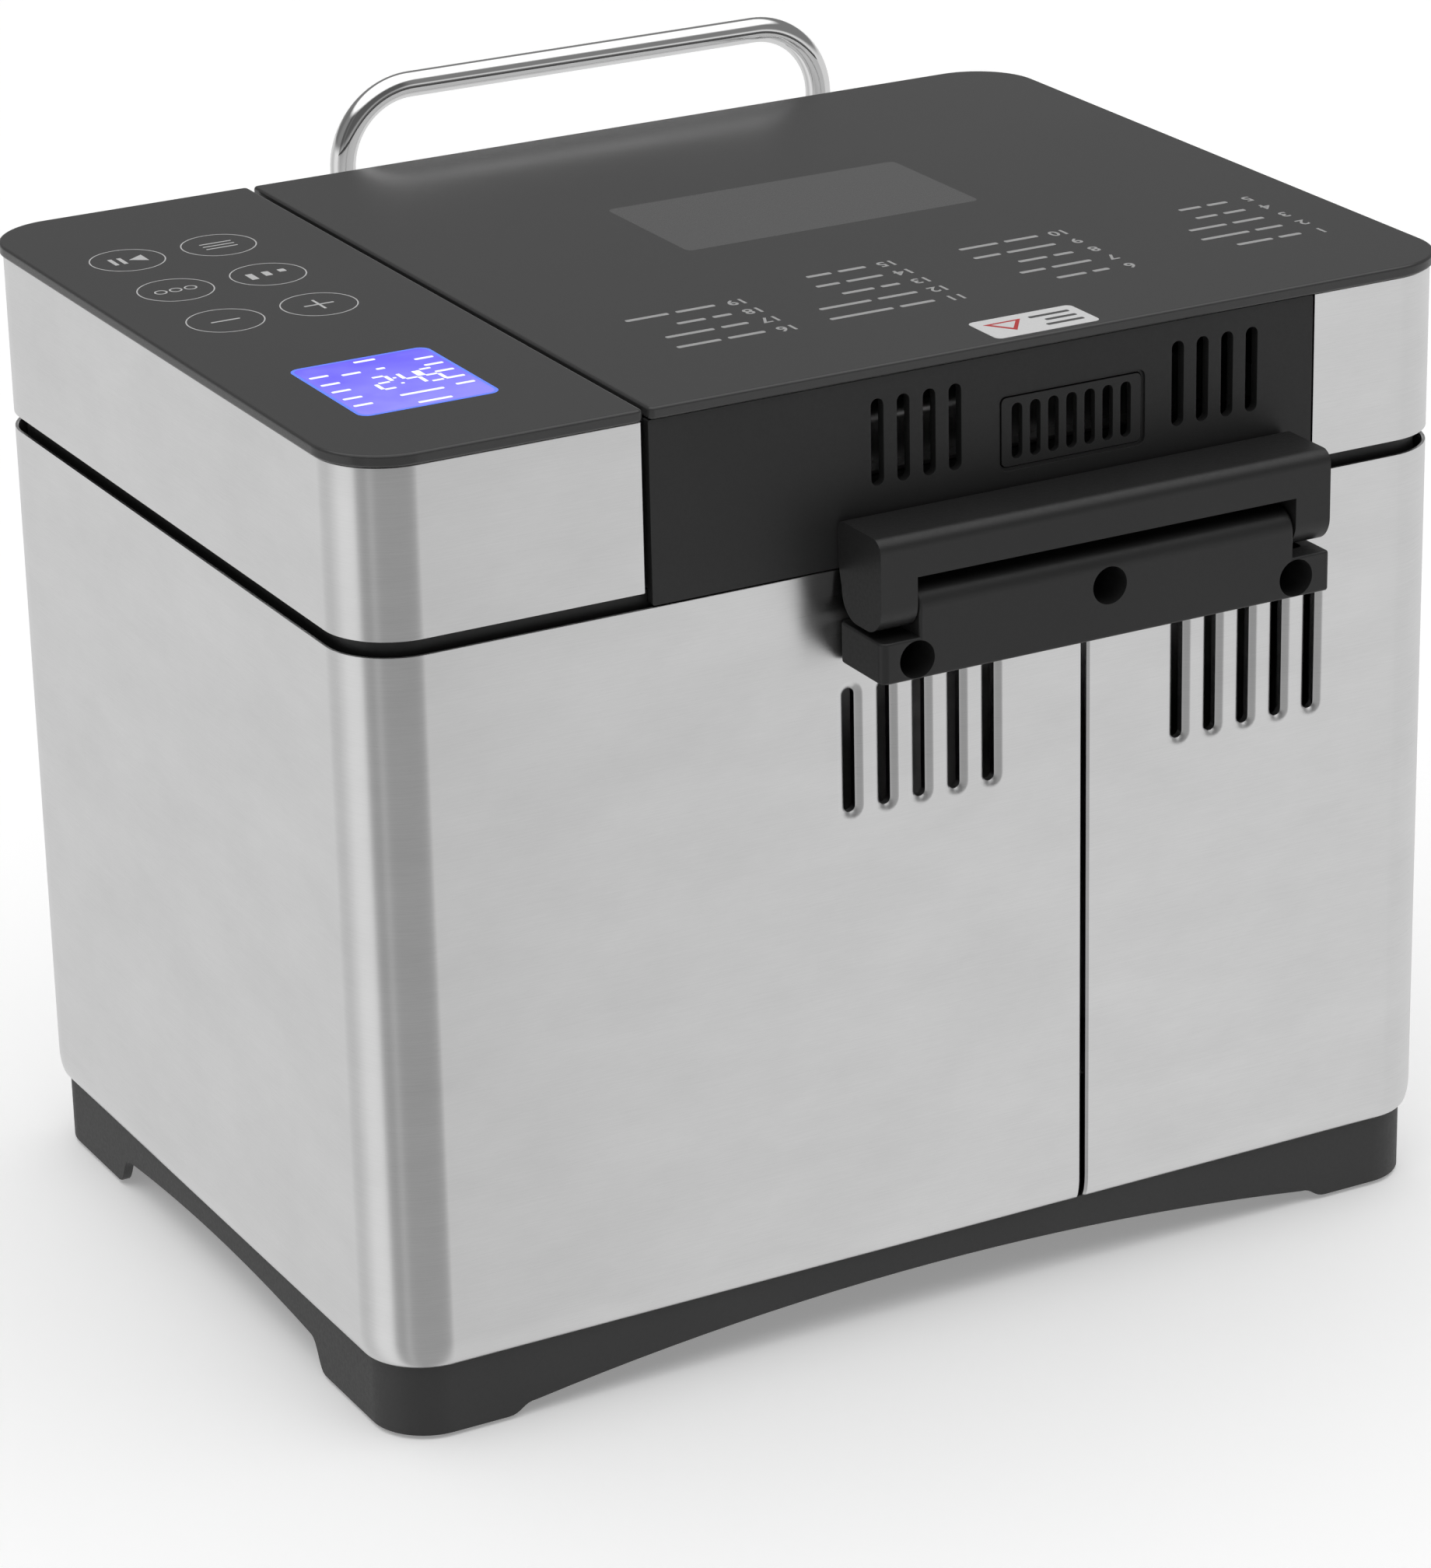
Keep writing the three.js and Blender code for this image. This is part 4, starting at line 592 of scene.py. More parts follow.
def sheet_section(z0, z1, curl=0.0, curl_h=0.0, edge=0.25, steps=8):
    """A sheet's section: up the outside and down the inside, with a curled lower edge."""
    def side(back):
        low = [(-curl * (1 - math.sin(a)) - back, z0 + curl_h * (1 - math.cos(a)))
               for a in (math.pi / 2 * i / steps for i in range(steps + 1))]
        return low if curl else [(-back, z0)]
    outside = side(0.0)
    inside = side(SHEET)
    top = [(0.0, z1 - edge), (-edge * 0.3, z1 - edge * 0.3), (-edge, z1), (-SHEET + edge, z1),
           (-SHEET, z1 - edge)]
    return outside + top + list(reversed(inside))


def pressed_rim(cx, cz, length, width, face_y, reach, depth, lip, steps=7):
    """The rim of a slot pressed in from a flat sheet: a soft roll, then a short lip."""
    curve = [(reach * (1 - i / steps), -depth * (i / steps) ** 2) for i in range(steps + 1)]
    section = curve + [(0.0, -depth - lip)]
    section += [(reach * i / 3, -SHEET - depth * (1 - i / 3) ** 2) for i in range(1, 4)]
    rings = []
    for grow, back in section:
        rings.append([(x, face_y + back, z) for x, z in stadium(cx, cz, length, width, grow)])
    return loft(rings, joined=True)


# ---------------------------------------------------------------- body wrap
CURL, CURL_H = 2.0, 8.0
SEAM_X, SEAM_W = -50.0, 1.7
VENT_LEN, VENT_W, VENT_PITCH, VENT_COUNT, VENT_OFF, VENT_UP = 37.0, 3.7, 11.3, 5, 54.0, 157.0
PRESS_REACH, PRESS_DEEP, PRESS_LIP = 2.3, 1.0, 2.2


def row(cx, count, pitch):
    """Evenly spaced places about a middle."""
    return [cx + (i - (count - 1) / 2) * pitch for i in range(count)]


def two_rows(cx, off, count, pitch):
    return row(cx - off, count, pitch) + row(cx + off, count, pitch)


def body_wrap():
    path = sheet_path(WRAP_LO.x, WRAP_HI.x, WRAP_LO.y, WRAP_HI.y, CORNER_R,
                      SEAM_X - SEAM_W / 2, SEAM_X + SEAM_W / 2, 0.7)
    wall = sheet_wall(path, sheet_section(WRAP_LO.z, WRAP_HI.z, CURL, CURL_H))
    height = WRAP_LO.z + VENT_UP
    places = two_rows(SEAM_X, VENT_OFF, VENT_COUNT, VENT_PITCH)
    tools = [slot_tool(x, height, VENT_LEN, VENT_W, WRAP_HI.y - 4, WRAP_HI.y + 2, PRESS_REACH)
             for x in places]
    rims = [pressed_rim(x, height, VENT_LEN, VENT_W, WRAP_HI.y, PRESS_REACH, PRESS_DEEP, PRESS_LIP)
            for x in places]
    # Welding would join each rim to the wall round it and spoil the wall's flat shading.
    piece("body_wrap_shell", merge(carved(wall, *tools), *rims), STEEL, "housing",
          ["body_wrap"], weld=False)


body_wrap()


# ---------------------------------------------------------------- lid and control strip
def lid_wall():
    """The lid's steel runs from the rear panel's edge round the side and front to the joint."""
    left, front = LID_LO.x, LID_LO.y
    radius = CORNER_R
    path = [(PANEL_LO.x - 0.6, LID_HI.y, 0.0, 1.0, 0.0)]
    path += sheet_corner(left + radius, LID_HI.y - radius, radius, 90)
    path += sheet_corner(left + radius, front + radius, radius, 180)
    path.append((PANEL_HI.x, front, 0.0, -1.0, 0.0))
    wall = sheet_wall(path, sheet_section(LID_LO.z, LID_HI.z, edge=0.2))
    leg = corners("lid_handle")
    holes = [rod(HANDLE_R + 0.3, -4, 4, (x, front, LID_LO.z + HANDLE_ROOT), "Y", 32)
             for x in (leg[0].x + HANDLE_R, leg[1].x - HANDLE_R)]
    piece("lid_steel", carved(wall, *holes), STEEL, "lid", ["lid_shell"])


def strip_outline(inset):
    r = max(CORNER_R - inset, 0.5)
    return inset_rect(STRIP_LO, STRIP_HI, inset, (0.8, r, r, 0.8), 18)


def control_strip():
    outer = plate(strip_outline, STRIP_LO.z, STRIP_HI.z, 0.3, 3)
    hollow = prism(strip_outline(SHEET), STRIP_LO.z - 1, STRIP_HI.z - SHEET)
    openings = []
    for name, room in (("display_module", FIT), ("touch_sensor_board", 1)):
        low, high = corners(name)
        openings.append(box(low.x - room, high.x + room, low.y - room, high.y + room,
                            STRIP_HI.z - 3, STRIP_HI.z + 1))
    piece("control_strip_steel", carved(outer, hollow, *openings), STEEL, "housing",
          ["control_shell"])


def glass_plate(name, low, high, radii, body, replaced):
    def outline(inset):
        return inset_rect(low, high, inset, [max(r - inset, 0.4) for r in radii], 20)
    piece(name, plate(outline, low.z, high.z, 0.9, 5), GLASS, body, [replaced])


lid_wall()
control_strip()
GLASS_R = CORNER_R + 1.2
glass_plate("lid_glass_top", LID_GLASS_LO, LID_GLASS_HI, (GLASS_R, 1.6, 1.6, GLASS_R), "lid", "lid_glass")
glass_plate("control_glass_top", STRIP_GLASS_LO, STRIP_GLASS_HI, (1.6, GLASS_R, GLASS_R, 1.6), "housing",
            "control_glass")

# ---------------------------------------------------------------- lid's rear panel
SLOT_LEN, SLOT_W, SLOT_PITCH, SLOT_COUNT, SLOT_OFF, SLOT_UP = 25.0, 4.0, 8.2, 4, 48.5, 30.0
GRILLE_SLOTS, GRILLE_PITCH, GRILLE_SLOT_W, GRILLE_SLOT_LEN = 7, 5.9, 3.4, 16.2
GROOVE_W = 1.1       # outline groove round the grille


def rear_panel():
    panel = stand_y(prism(inset_rect_xz(PANEL_LO, PANEL_HI, 0, 0.6), PANEL_LO.y, PANEL_HI.y))
    tools = []
    for x in two_rows(LID_CX, SLOT_OFF, SLOT_COUNT, SLOT_PITCH):
        tools.append(slot_tool(x, LID_LO.z + SLOT_UP, SLOT_LEN, SLOT_W, PANEL_LO.y - 1, PANEL_HI.y + 1))
    tools.append(stand_y(prism(inset_rect_xz(GRILLE_LO, GRILLE_HI, -FIT, 1.8),
                               PANEL_LO.y - 1, PANEL_HI.y + 1)))
    groove = prism(inset_rect_xz(GRILLE_LO, GRILLE_HI, -GROOVE_W, 2.4), PANEL_HI.y - 0.8, PANEL_HI.y + 1)
    panel = carved(carved(panel, *tools), stand_y(groove))
    piece("lid_back_panel", eased(panel, 0.45, 3), PANEL, "lid", ["lid_rear_panel"])
    insert = stand_y(prism(inset_rect_xz(GRILLE_LO, GRILLE_HI, 0, 1.6), GRILLE_LO.y, GRILLE_HI.y))
    centre = middle_of("lid_vent_grille")
    slots = [slot_tool(x, centre.z, GRILLE_SLOT_LEN, GRILLE_SLOT_W, GRILLE_LO.y - 1, GRILLE_HI.y + 1)
             for x in row(centre.x, GRILLE_SLOTS, GRILLE_PITCH)]
    piece("lid_grille", eased(carved(insert, *slots), 0.4, 3), PANEL, "lid",
          ["lid_vent_grille"])


rear_panel()


# ---------------------------------------------------------------- handle
def handle():
    low, high = corners("lid_handle")
    r = HANDLE_R
    y_bar, z_bar, z_leg = low.y + r, high.z - r, low.z + r
    x0, x1 = low.x + r, high.x - r
    y_in = high.y
    places = [(x0, y_in, z_leg), (x0, y_bar, z_leg), (x0, y_bar, z_bar),
              (x1, y_bar, z_bar), (x1, y_bar, z_leg), (x1, y_in, z_leg)]
    path = bent_path(places, (13.0, 24.0, 24.0, 13.0), 24)
    piece("lid_handle_rod", tube(path, r, 40), CHROME, "lid", ["lid_handle"], weighted=False)


handle()


# ---------------------------------------------------------------- hinge
def arc(cy, cz, r, start, end, steps=14):
    """Points on a circle, from one angle to another in degrees."""
    return [(cy + r * math.cos(a), cz + r * math.sin(a))
            for a in (math.radians(start + (end - start) * i / steps) for i in range(steps + 1))]


HINGE_LO, HINGE_HI = corners("hinge_bracket")
HINGE_CX = (HINGE_LO.x + HINGE_HI.x) / 2
HINGE_HALF = (HINGE_HI.x - HINGE_LO.x) / 2
HINGE_INNER = HINGE_HALF - 11.5              # inside of the lid block's two arms
HINGE_DEEP = 24.0                            # both blocks stand this far off the rear
AXIS_OUT, AXIS_Z = 16.0, corners("hinge_pin_left")[0].z + 2.0
PIN_HOLE_R = 2.3
SLOT_TOP, SHELF_TOP = WRAP_LO.z + 214.0, WRAP_LO.z + 196.5


def along_hinge(profile, half):
    """A solid of one side view, out and up from the wrap's rear face, over the hinge's length."""
    outline = [(WRAP_HI.y + out, z) for out, z in profile]
    return stand_x(prism(outline, HINGE_CX - half, HINGE_CX + half))


def hinge_lid_block():
    low, high = corners("hinge_upper")
    rear = WRAP_HI.y
    back = low.y - rear
    profile = arc(back + 3, high.z - 3, 3, 90, 180)
    profile += [(back, SLOT_TOP), (back + 2, AXIS_Z)]
    profile += arc(AXIS_OUT - 5.5, AXIS_Z, 8, 180, 270)
    profile += arc(AXIS_OUT, AXIS_Z, 8, 270, 360)
    profile += arc(HINGE_DEEP - 4, high.z - 4, 4, 0, 90)
    block = eased(along_hinge(profile, HINGE_HALF), 2.6, 5)
    x0, x1 = HINGE_CX - HINGE_INNER, HINGE_CX + HINGE_INNER
    slot = box(x0, x1, rear - 1, rear + HINGE_DEEP + 1, low.z - 5, SLOT_TOP)
    cavity = box(x0, x1, rear + back + 2, rear + HINGE_DEEP - 2, SLOT_TOP - 1, high.z - 2.5)
    reach = HINGE_HALF - 0.35      # the pin holes stop just short of the block's ends
    pins = rod(PIN_HOLE_R, HINGE_CX - reach, HINGE_CX + reach, (0, rear + AXIS_OUT, AXIS_Z), "X")
    # One cut for both slot and cavity would leave a skin between them.
    block = carved(carved(block, slot), cavity, pins)
    piece("hinge_lid_block", eased(block, 0.35, 2), BLACK, "lid", ["hinge_upper"])


def hinge_body_bracket():
    low = HINGE_LO
    rear, top, mid = WRAP_HI.y, AXIS_Z + 3.9, HINGE_INNER - 0.6
    profile = [(FIT, low.z), (HINGE_DEEP - 1.2, low.z)]
    profile += arc(HINGE_DEEP - 1.2, low.z + 1.2, 1.2, 270, 360, 4)
    profile += arc(HINGE_DEEP - 6, top - 6, 6, 0, 90) + [(FIT, top)]
    middle = eased(along_hinge(profile, mid), 0.9, 3)
    shelf = eased(prism(round_rect(HINGE_CX - HINGE_HALF, HINGE_CX + HINGE_HALF, rear + FIT,
                                   rear + HINGE_DEEP, (1, 2.5, 2.5, 1)), low.z, SHELF_TOP), 0.8, 3)
    whole = carved(middle, shelf, operation="UNION")
    side = HINGE_HALF - 11.2
    screws = [(HINGE_CX + side, rear, low.z + 5.8), (HINGE_CX, rear, low.z + 15.4),
              (HINGE_CX - side, rear, low.z + 5.8)]
    whole = carved(whole, *[rod(5.5, 7, 26, place_of, "Y", 40) for place_of in screws])
    tools = [rod(PIN_HOLE_R, -1, 9, place_of, "Y") for place_of in screws]
    tools += [rod(PIN_HOLE_R, x, x + 16, (0, rear + AXIS_OUT, AXIS_Z), "X")
              for x in (HINGE_CX + mid - 14, HINGE_CX - mid - 2)]
    pocket = centred(HINGE_CX - HINGE_HALF + 8, rear + 13, 7, 9, 2)
    tools.append(prism(pocket, SHELF_TOP - 2, SHELF_TOP + 1))
    whole = eased(carved(whole, *tools), 0.35, 2)
    piece("hinge_body_bracket", whole, BLACK, "housing", ["hinge_bracket"])


hinge_lid_block()
hinge_body_bracket()


# ---------------------------------------------------------------- base
def base():
    low, high = corners("base_tray")
    foot_x, foot_y, step = 34.0, 49.0, 9.0
    rise, spring_rear, spring_side = 12.4, 3.2, 9.5

    def curve(p0, p1, p2, p3, steps=8):
        out = []
        for i in range(1, steps + 1):
            t = i / steps
            k = 1 - t
            out.append(tuple(k ** 3 * a + 3 * k * k * t * b + 3 * k * t * t * c + t ** 3 * d
                             for a, b, c, d in zip(p0, p1, p2, p3)))
        return out

    def arch(half, foot, spring):
        inner = half - foot
        crown = 2 * rise - spring
        start, bend = (-inner, 0), -inner + step / 2
        a, b = (-inner + step, spring), (inner - step, spring)
        points = [(-inner, -2), start] + curve(start, (bend, 0), (bend, spring), a)
        for i in range(1, 25):
            t = i / 24
            k = 1 - t
            points.append((k * k * a[0] + t * t * b[0], k * k * a[1] + 2 * k * t * crown + t * t * b[1]))
        points += curve(b, (inner - step / 2, spring), (inner - step / 2, 0), (inner, 0))
        points.append((inner, -2))
        return points

    def outline(inset):
        return inset_rect(low, high, inset, CORNER_R - 3 - inset, 18)
    wall = 3.0
    tray = plate(outline, low.z, high.z)
    tray = carved(tray, prism(outline(wall), low.z - 1, high.z - wall))
    half_x = (high.x - low.x) / 2
    half_y = (high.y - low.y) / 2
    far = 300
    front = stand_y(prism([(x, low.z + z) for x, z in arch(half_x, foot_x, spring_rear)], -far, far))
    side = stand_x(prism([(MID_Y + y, low.z + z) for y, z in arch(half_y, foot_y, spring_side)],
                         -far, far))
    tray = carved(carved(tray, front), side)
    piece("base_moulding", eased(tray, 0.7, 3), CHARCOAL, "housing", ["base_tray"])


base()


# ---------------------------------------------------------------- printing on the glass
PRINT_Z = STRIP_GLASS_HI.z - 0.02
PRINT_T = 0.05
WINDOW = (-89.4, 8.8, -46.5 + MID_Y, 4.5 + MID_Y)     # the lid's viewing window, in X and Y
WHITE = ink("white_ink", grey(0.62))
PALE = ink("pale_ink", grey(0.42))


def flat(outline_points, z=PRINT_Z, thick=PRINT_T):
    return prism(outline_points, z, z + thick)


def ring(cx, cy, radius, line, sides=72):
    """A thin printed ring."""
    inner, outer = radius - line / 2, radius + line / 2
    section = [(inner, 0), (outer, 0), (outer, PRINT_T), (inner, PRINT_T)]
    return lathe(section, (cx, cy, PRINT_Z), "Z", sides)


def bar(x0, x1, cy, height, z=PRINT_Z):
    return flat(centred((x0 + x1) / 2, cy, x1 - x0, height, height * 0.3, 4), z)


def text_shape(words, x, y, size):
    """Numerals as a thin solid, reading towards +X."""
    curve = bpy.data.curves.new("numeral", "FONT")
    curve.body = words
    curve.size = size * MM
    curve.extrude = PRINT_T / 2 * MM
    curve.offset = 0.12 * MM
    curve.align_x = "CENTER"
    curve.align_y = "CENTER"
    curve.resolution_u = 3
    points, faces = take_shape(linked("numeral", curve))
    return [(px + x, py + y, pz + PRINT_Z + PRINT_T / 2) for px, py, pz in points], faces


KEY_ROWS = (-75.5, -40.5, -5.7)
KEY_COLUMNS = (121.5, 150.3)
RING_R = 11.0


def key_print():
    shapes = []
    for y in KEY_ROWS:
        for x in KEY_COLUMNS:
            shapes.append(ring(x, y + MID_Y, RING_R, 0.38))
    left, right = KEY_COLUMNS
    low, mid, top = (y + MID_Y for y in KEY_ROWS)
    shapes.append(bar(left - 4.6, left + 4.6, top, 0.8))
    shapes.append(flat(centred(left, top, 0.8, 9.2, 0.2, 3), PRINT_Z + 0.001))
    shapes.append(bar(right - 4.4, right + 4.4, top, 0.8))
    for i in (-1, 0, 1):
        shapes.append(bar(left - 5, left + 5, low + i * 2.6, 0.7))
    shapes.append(flat([(right - 5.5, low - 3.2), (right - 0.5, low), (right - 5.5, low + 3.2)]))
    for x in (right + 1.6, right + 4.4):
        shapes.append(flat(centred(x, low, 1.3, 6.4, 0.2, 3)))
    for i, size in enumerate((2.6, 4.2, 5.8)):
        x = left - 5 + i * 5
        shapes.append(flat(centred(x, mid - 2.9 + size / 2, 2.2, size, 0.3, 3)))
    for i in (-1, 0, 1):
        shapes.append(ring(right + i * 4.6, mid, 1.7, 0.5, 24))
    piece("key_print", merge(*shapes), WHITE, "housing", weighted=False)


key_print()


def programme_print():
    """Nineteen numbered programmes in four columns, each with a plain bar for its name."""
    random.seed(SEED)
    columns = ((-156.5, 5), (-91.0, 5), (-33.3, 5), (21.0, 4))
    first_row, row_pitch = 85.0, 9.7
    shapes = []
    number = 0
    for column_x, count in columns:
        for row in range(count):
            number += 1
            y = first_row - row * row_pitch + MID_Y
            shapes.append(text_shape(str(number), column_x, y, 6.4))
            length = random.uniform(16, 34)
            split = random.uniform(0.35, 0.65) * length
            start = column_x + 6.8
            shapes.append(bar(start, start + split - 1.2, y - 0.4, 1.8))
            shapes.append(bar(start + split + 1.2, start + length, y - 0.4, 1.8))
    piece("programme_print", merge(*shapes), PALE, "lid", weighted=False)


programme_print()


def window_print():
    """The viewing window: a paler rectangle in the lid's glass."""
    pane = ink("window_tint", grey(0.10), roughness=0.14)
    area = flat(round_rect(*WINDOW, 2.2), PRINT_Z, 0.03)
    piece("window_area", area, pane, "lid", weighted=False)


window_print()


def heat_label():
    """A plain white label: a triangle and bars stand for a hot-surface notice."""
    paper = ink("label_paper", grey(0.78))
    dark = ink("label_print", grey(0.08))
    red = ink("label_red", (0.55, 0.03, 0.03))
    x0, x1, y0, y1 = -56.0, -22.5, 108.5 + MID_Y, 125.5 + MID_Y
    sheet = flat(round_rect(x0, x1, y0, y1, 2.0), PRINT_Z, 0.12)
    piece("heat_label_paper", sheet, paper, "lid", weighted=False)
    z = PRINT_Z + 0.1
    bars = [bar(x0 + 3, x0 + end, y1 - down, 1.6, z) for end, down in ((15, 4.5), (13, 8.5), (16, 12.5))]
    piece("heat_label_bars", merge(*bars), dark, "lid", weighted=False)
    tip = [(x1 - 9, y0 + 12.5), (x1 - 15, y0 + 4), (x1 - 3, y0 + 4)]
    hole = [(x1 - 9, y0 + 10.4), (x1 - 13, y0 + 4.9), (x1 - 5, y0 + 4.9)]
    rings = [[(x, y, z) for x, y in tip], [(x, y, z + PRINT_T) for x, y in tip],
             [(x, y, z + PRINT_T) for x, y in hole], [(x, y, z) for x, y in hole]]
    piece("heat_label_triangle", loft(rings, joined=True), red, "lid", weighted=False)


heat_label()

# ---------------------------------------------------------------- display
SEGMENTS = {
    "0": "abcdef", "1": "bc", "2": "abged", "3": "abgcd", "4": "fgbc", "5": "afgcd",
    "6": "afgedc", "7": "abc", "8": "abcdefg", "9": "abfgcd",
}
DISPLAY_TRIM = 0.1


def digit(character, cx, cy, width, height, z):
    """One seven-segment digit made of thin bars, upright as seen from the hinge side."""
    line = 1.15
    gap = 0.25
    half = height / 2
    spots = {
        "a": (0, half, 0), "g": (0, 0, 0), "d": (0, -half, 0),
        "b": (width / 2, half / 2, 1), "c": (width / 2, -half / 2, 1),
        "f": (-width / 2, half / 2, 1), "e": (-width / 2, -half / 2, 1),
    }
    shapes = []
    for name in SEGMENTS[character]:
        dx, dy, upright = spots[name]
        across = line if upright else width - line - gap
        along = half - line * 0.5 - gap if upright else line
        shapes.append(flat(centred(cx - dx - dy * 0.12, cy - dy, across, along, 0.25, 3), z))
    return shapes


def display():
    """The lit display. It reads from the hinge side, so u runs towards -X and v towards +Y."""
    low, high = corners("display_module")
    x0, x1 = low.x + DISPLAY_TRIM, high.x - DISPLAY_TRIM
    y0, y1 = low.y + DISPLAY_TRIM, high.y - DISPLAY_TRIM
    rim = ink("display_rim", (0.10, 0.19, 0.85), 0.6)
    lit = ink("display_marks", (0.75, 0.78, 0.95), 0.75)
    field = backlit_panel("display_field", y0, y1)
    border = flat(round_rect(x0, x1, y0, y1, 3.4), PRINT_Z, 0.04)
    piece("display_border", border, rim, "housing", weighted=False)
    inner = flat(round_rect(x0 + 0.9, x1 - 0.9, y0 + 0.9, y1 - 0.9, 2.6), PRINT_Z, 0.07)
    piece("display_light", inner, field, "housing", weighted=False)
    z = PRINT_Z + 0.06

    def at(u, v):
        return x1 - u * (x1 - x0), y0 + v * (y1 - y0)

    shapes = []
    for character, u in (("2", 0.43), ("4", 0.63), ("5", 0.77)):
        shapes += digit(character, *at(u, 0.50), 4.7, 11.0, z)
    for v in (0.45, 0.56):
        x, y = at(0.532, v)
        shapes.append(flat(centred(x, y, 1.0, 1.0, 0.3, 3), z))
    small = [(0.52, 0.07, 6.4), (0.33, 0.25, 5.6), (0.54, 0.25, 2.6), (0.56, 0.76, 13.0),
             (0.56, 0.93, 10.0)]
    small += [(0.12, v, 5.6) for v in (0.21, 0.365, 0.51, 0.66, 0.80)]
    small += [(0.88, v, 5.6) for v in (0.20, 0.33, 0.47, 0.61, 0.74)]
    for u, v, length in small:
        x, y = at(u, v)
        shapes.append(bar(x - length / 2, x + length / 2, y, 1.35, z))
    piece("display_marks", merge(*shapes), lit, "housing", weighted=False)


display()


# ---------------------------------------------------------------- inside the machine
CHAMBER_R, CHAMBER_FOLD, CHAMBER_BRIM = 22.0, 5.0, 8.0
DECK_RIM_W, DECK_CORNER_IN = 5.0, 3.6
PAN_R, PAN_WALL, PAN_TAPER, PAN_RIM, PAN_RIM_H, PAN_FOLD = 20.0, 1.6, 0.93, 3.0, 2.5, 6.0
SHAFT_HOLE_R = 4.3
PIVOT_HOLE_R = 2.3   # holes for the bail's rivets
HEATER_LEG = 13.0    # the element's two legs leave this far either side of the middle
DOME_R, BRIM_W, DOME_FOLD = 18.0, 7.0, 4.0


def grown_rect(low, high, radius, grow, scale=1.0):
    """A rounded rectangle's outline, grown by a distance and then shrunk about its middle."""
    cx, cy = (low[0] + high[0]) / 2, (low[1] + high[1]) / 2
    outline = inset_rect(low, high, -grow, max(radius + grow, 0.5), 16)
    return [(cx + (x - cx) * scale, cy + (y - cy) * scale) for x, y in outline]


def vessel(low, high, radius, profile, taper=None):
    """A thin pressed shell: profile is (how far outside the rectangle, height) along both its faces."""
    rings = []
    for grow, z in profile:
        scale = taper(z) if taper else 1.0
        rings.append([(x, y, z) for x, y in grown_rect(low, high, radius, grow, scale)])
    return loft(rings)


def shaft_hole(radius, z0, z1):
    """A cutting bar on the axis of the mixer shaft."""
    return rod(radius, z0, z1, (LID_CX, MID_Y, 0), "Z", 32)


def oven_chamber():
    box_low, box_high = corners("oven_chamber")
    brim = CHAMBER_BRIM
    low, high = (box_low.x + brim, box_low.y + brim), (box_high.x - brim, box_high.y - brim)
    under, floor_z, top = box_low.z, box_low.z + SHEET, box_high.z
    profile = [(SHEET - into, under + up) for into, up in quarter(CHAMBER_FOLD, 6)]
    profile += [(SHEET, top - SHEET), (brim - 0.3, top - SHEET), (brim, top - SHEET / 2),
                (brim - 0.3, top)]
    profile += [(into, top - up) for into, up in quarter(2.0, 4)]
    profile += [(-into, floor_z + up) for into, up in reversed(quarter(CHAMBER_FOLD - SHEET, 6))]
    element, probe = middle_of("heating_element"), middle_of("temperature_sensor")
    wall = high[0]
    ports = [(MID_Y - HEATER_LEG, element.z, 3.55), (MID_Y + HEATER_LEG, element.z, 3.55),
             (probe.y, probe.z, 3.3)]
    tools = [rod(r, wall - 4, wall + 4, (0, y, z), "X", 32) for y, z, r in ports]
    tools.insert(0, shaft_hole(4.6, under - 2, floor_z + 2))
    shell = carved(vessel(low, high, CHAMBER_R, profile), *tools)
    piece("chamber_liner", shell, ALUMINIUM, "housing", ["oven_chamber"])


def top_deck():
    low, high = corners("top_deck")
    box_low, box_high = corners("oven_chamber")
    radius = CORNER_R - DECK_CORNER_IN
    well_z = box_high.z - SHEET - 0.3

    def outline(inset):
        return inset_rect(low, high, inset, radius - inset, 16)
    deck = plate(outline, low.z, high.z)
    well = prism(outline(DECK_RIM_W), well_z, high.z + 2)
    room = SHEET + 0.6
    mouth = prism(inset_rect(box_low, box_high, CHAMBER_BRIM - room, CHAMBER_R + room, 16),
                  low.z - 2, high.z + 2)
    hatch = prism(centred(middle_of("control_shell").x, MID_Y, 46.2, 164, 6), low.z - 2, high.z + 2)
    deck = carved(carved(deck, well), mouth, hatch)
    piece("deck_moulding", eased(deck, 0.6, 3), BLACK, "housing", ["top_deck"])


def bread_pan():
    box_low, box_high = corners("bread_pan")
    low = (box_low.x + PAN_RIM, box_low.y + PAN_RIM)
    high = (box_high.x - PAN_RIM, box_high.y - PAN_RIM)
    under, floor_z, top = box_low.z, box_low.z + PAN_WALL, box_high.z

    def taper(z):
        return PAN_TAPER + (1 - PAN_TAPER) * (z - under) / (top - under)
    profile = [(PAN_WALL - into, under + up) for into, up in quarter(PAN_FOLD, 6)]
    rim_z = top - PAN_RIM_H
    profile += [(PAN_WALL, rim_z), (PAN_RIM - 0.5, rim_z), (PAN_RIM, rim_z + 0.5), (PAN_RIM, top - 0.8),
                (PAN_RIM - 0.8, top), (0.8, top), (0, top - 0.8)]
    profile += [(-into, floor_z + up) for into, up in reversed(quarter(PAN_FOLD - PAN_WALL, 6))]
    pivot = (0, MID_Y, middle_of("bail_rivet_left").z)
    tools = [shaft_hole(SHAFT_HOLE_R, under - 2, floor_z + 2),
             rod(PIVOT_HOLE_R, low[0] - 5, high[0] + 5, pivot, "X")]
    shell = carved(vessel(low, high, PAN_R, profile, taper), *tools)
    piece("pan_shell", shell, COATED, "pan", ["bread_pan"])


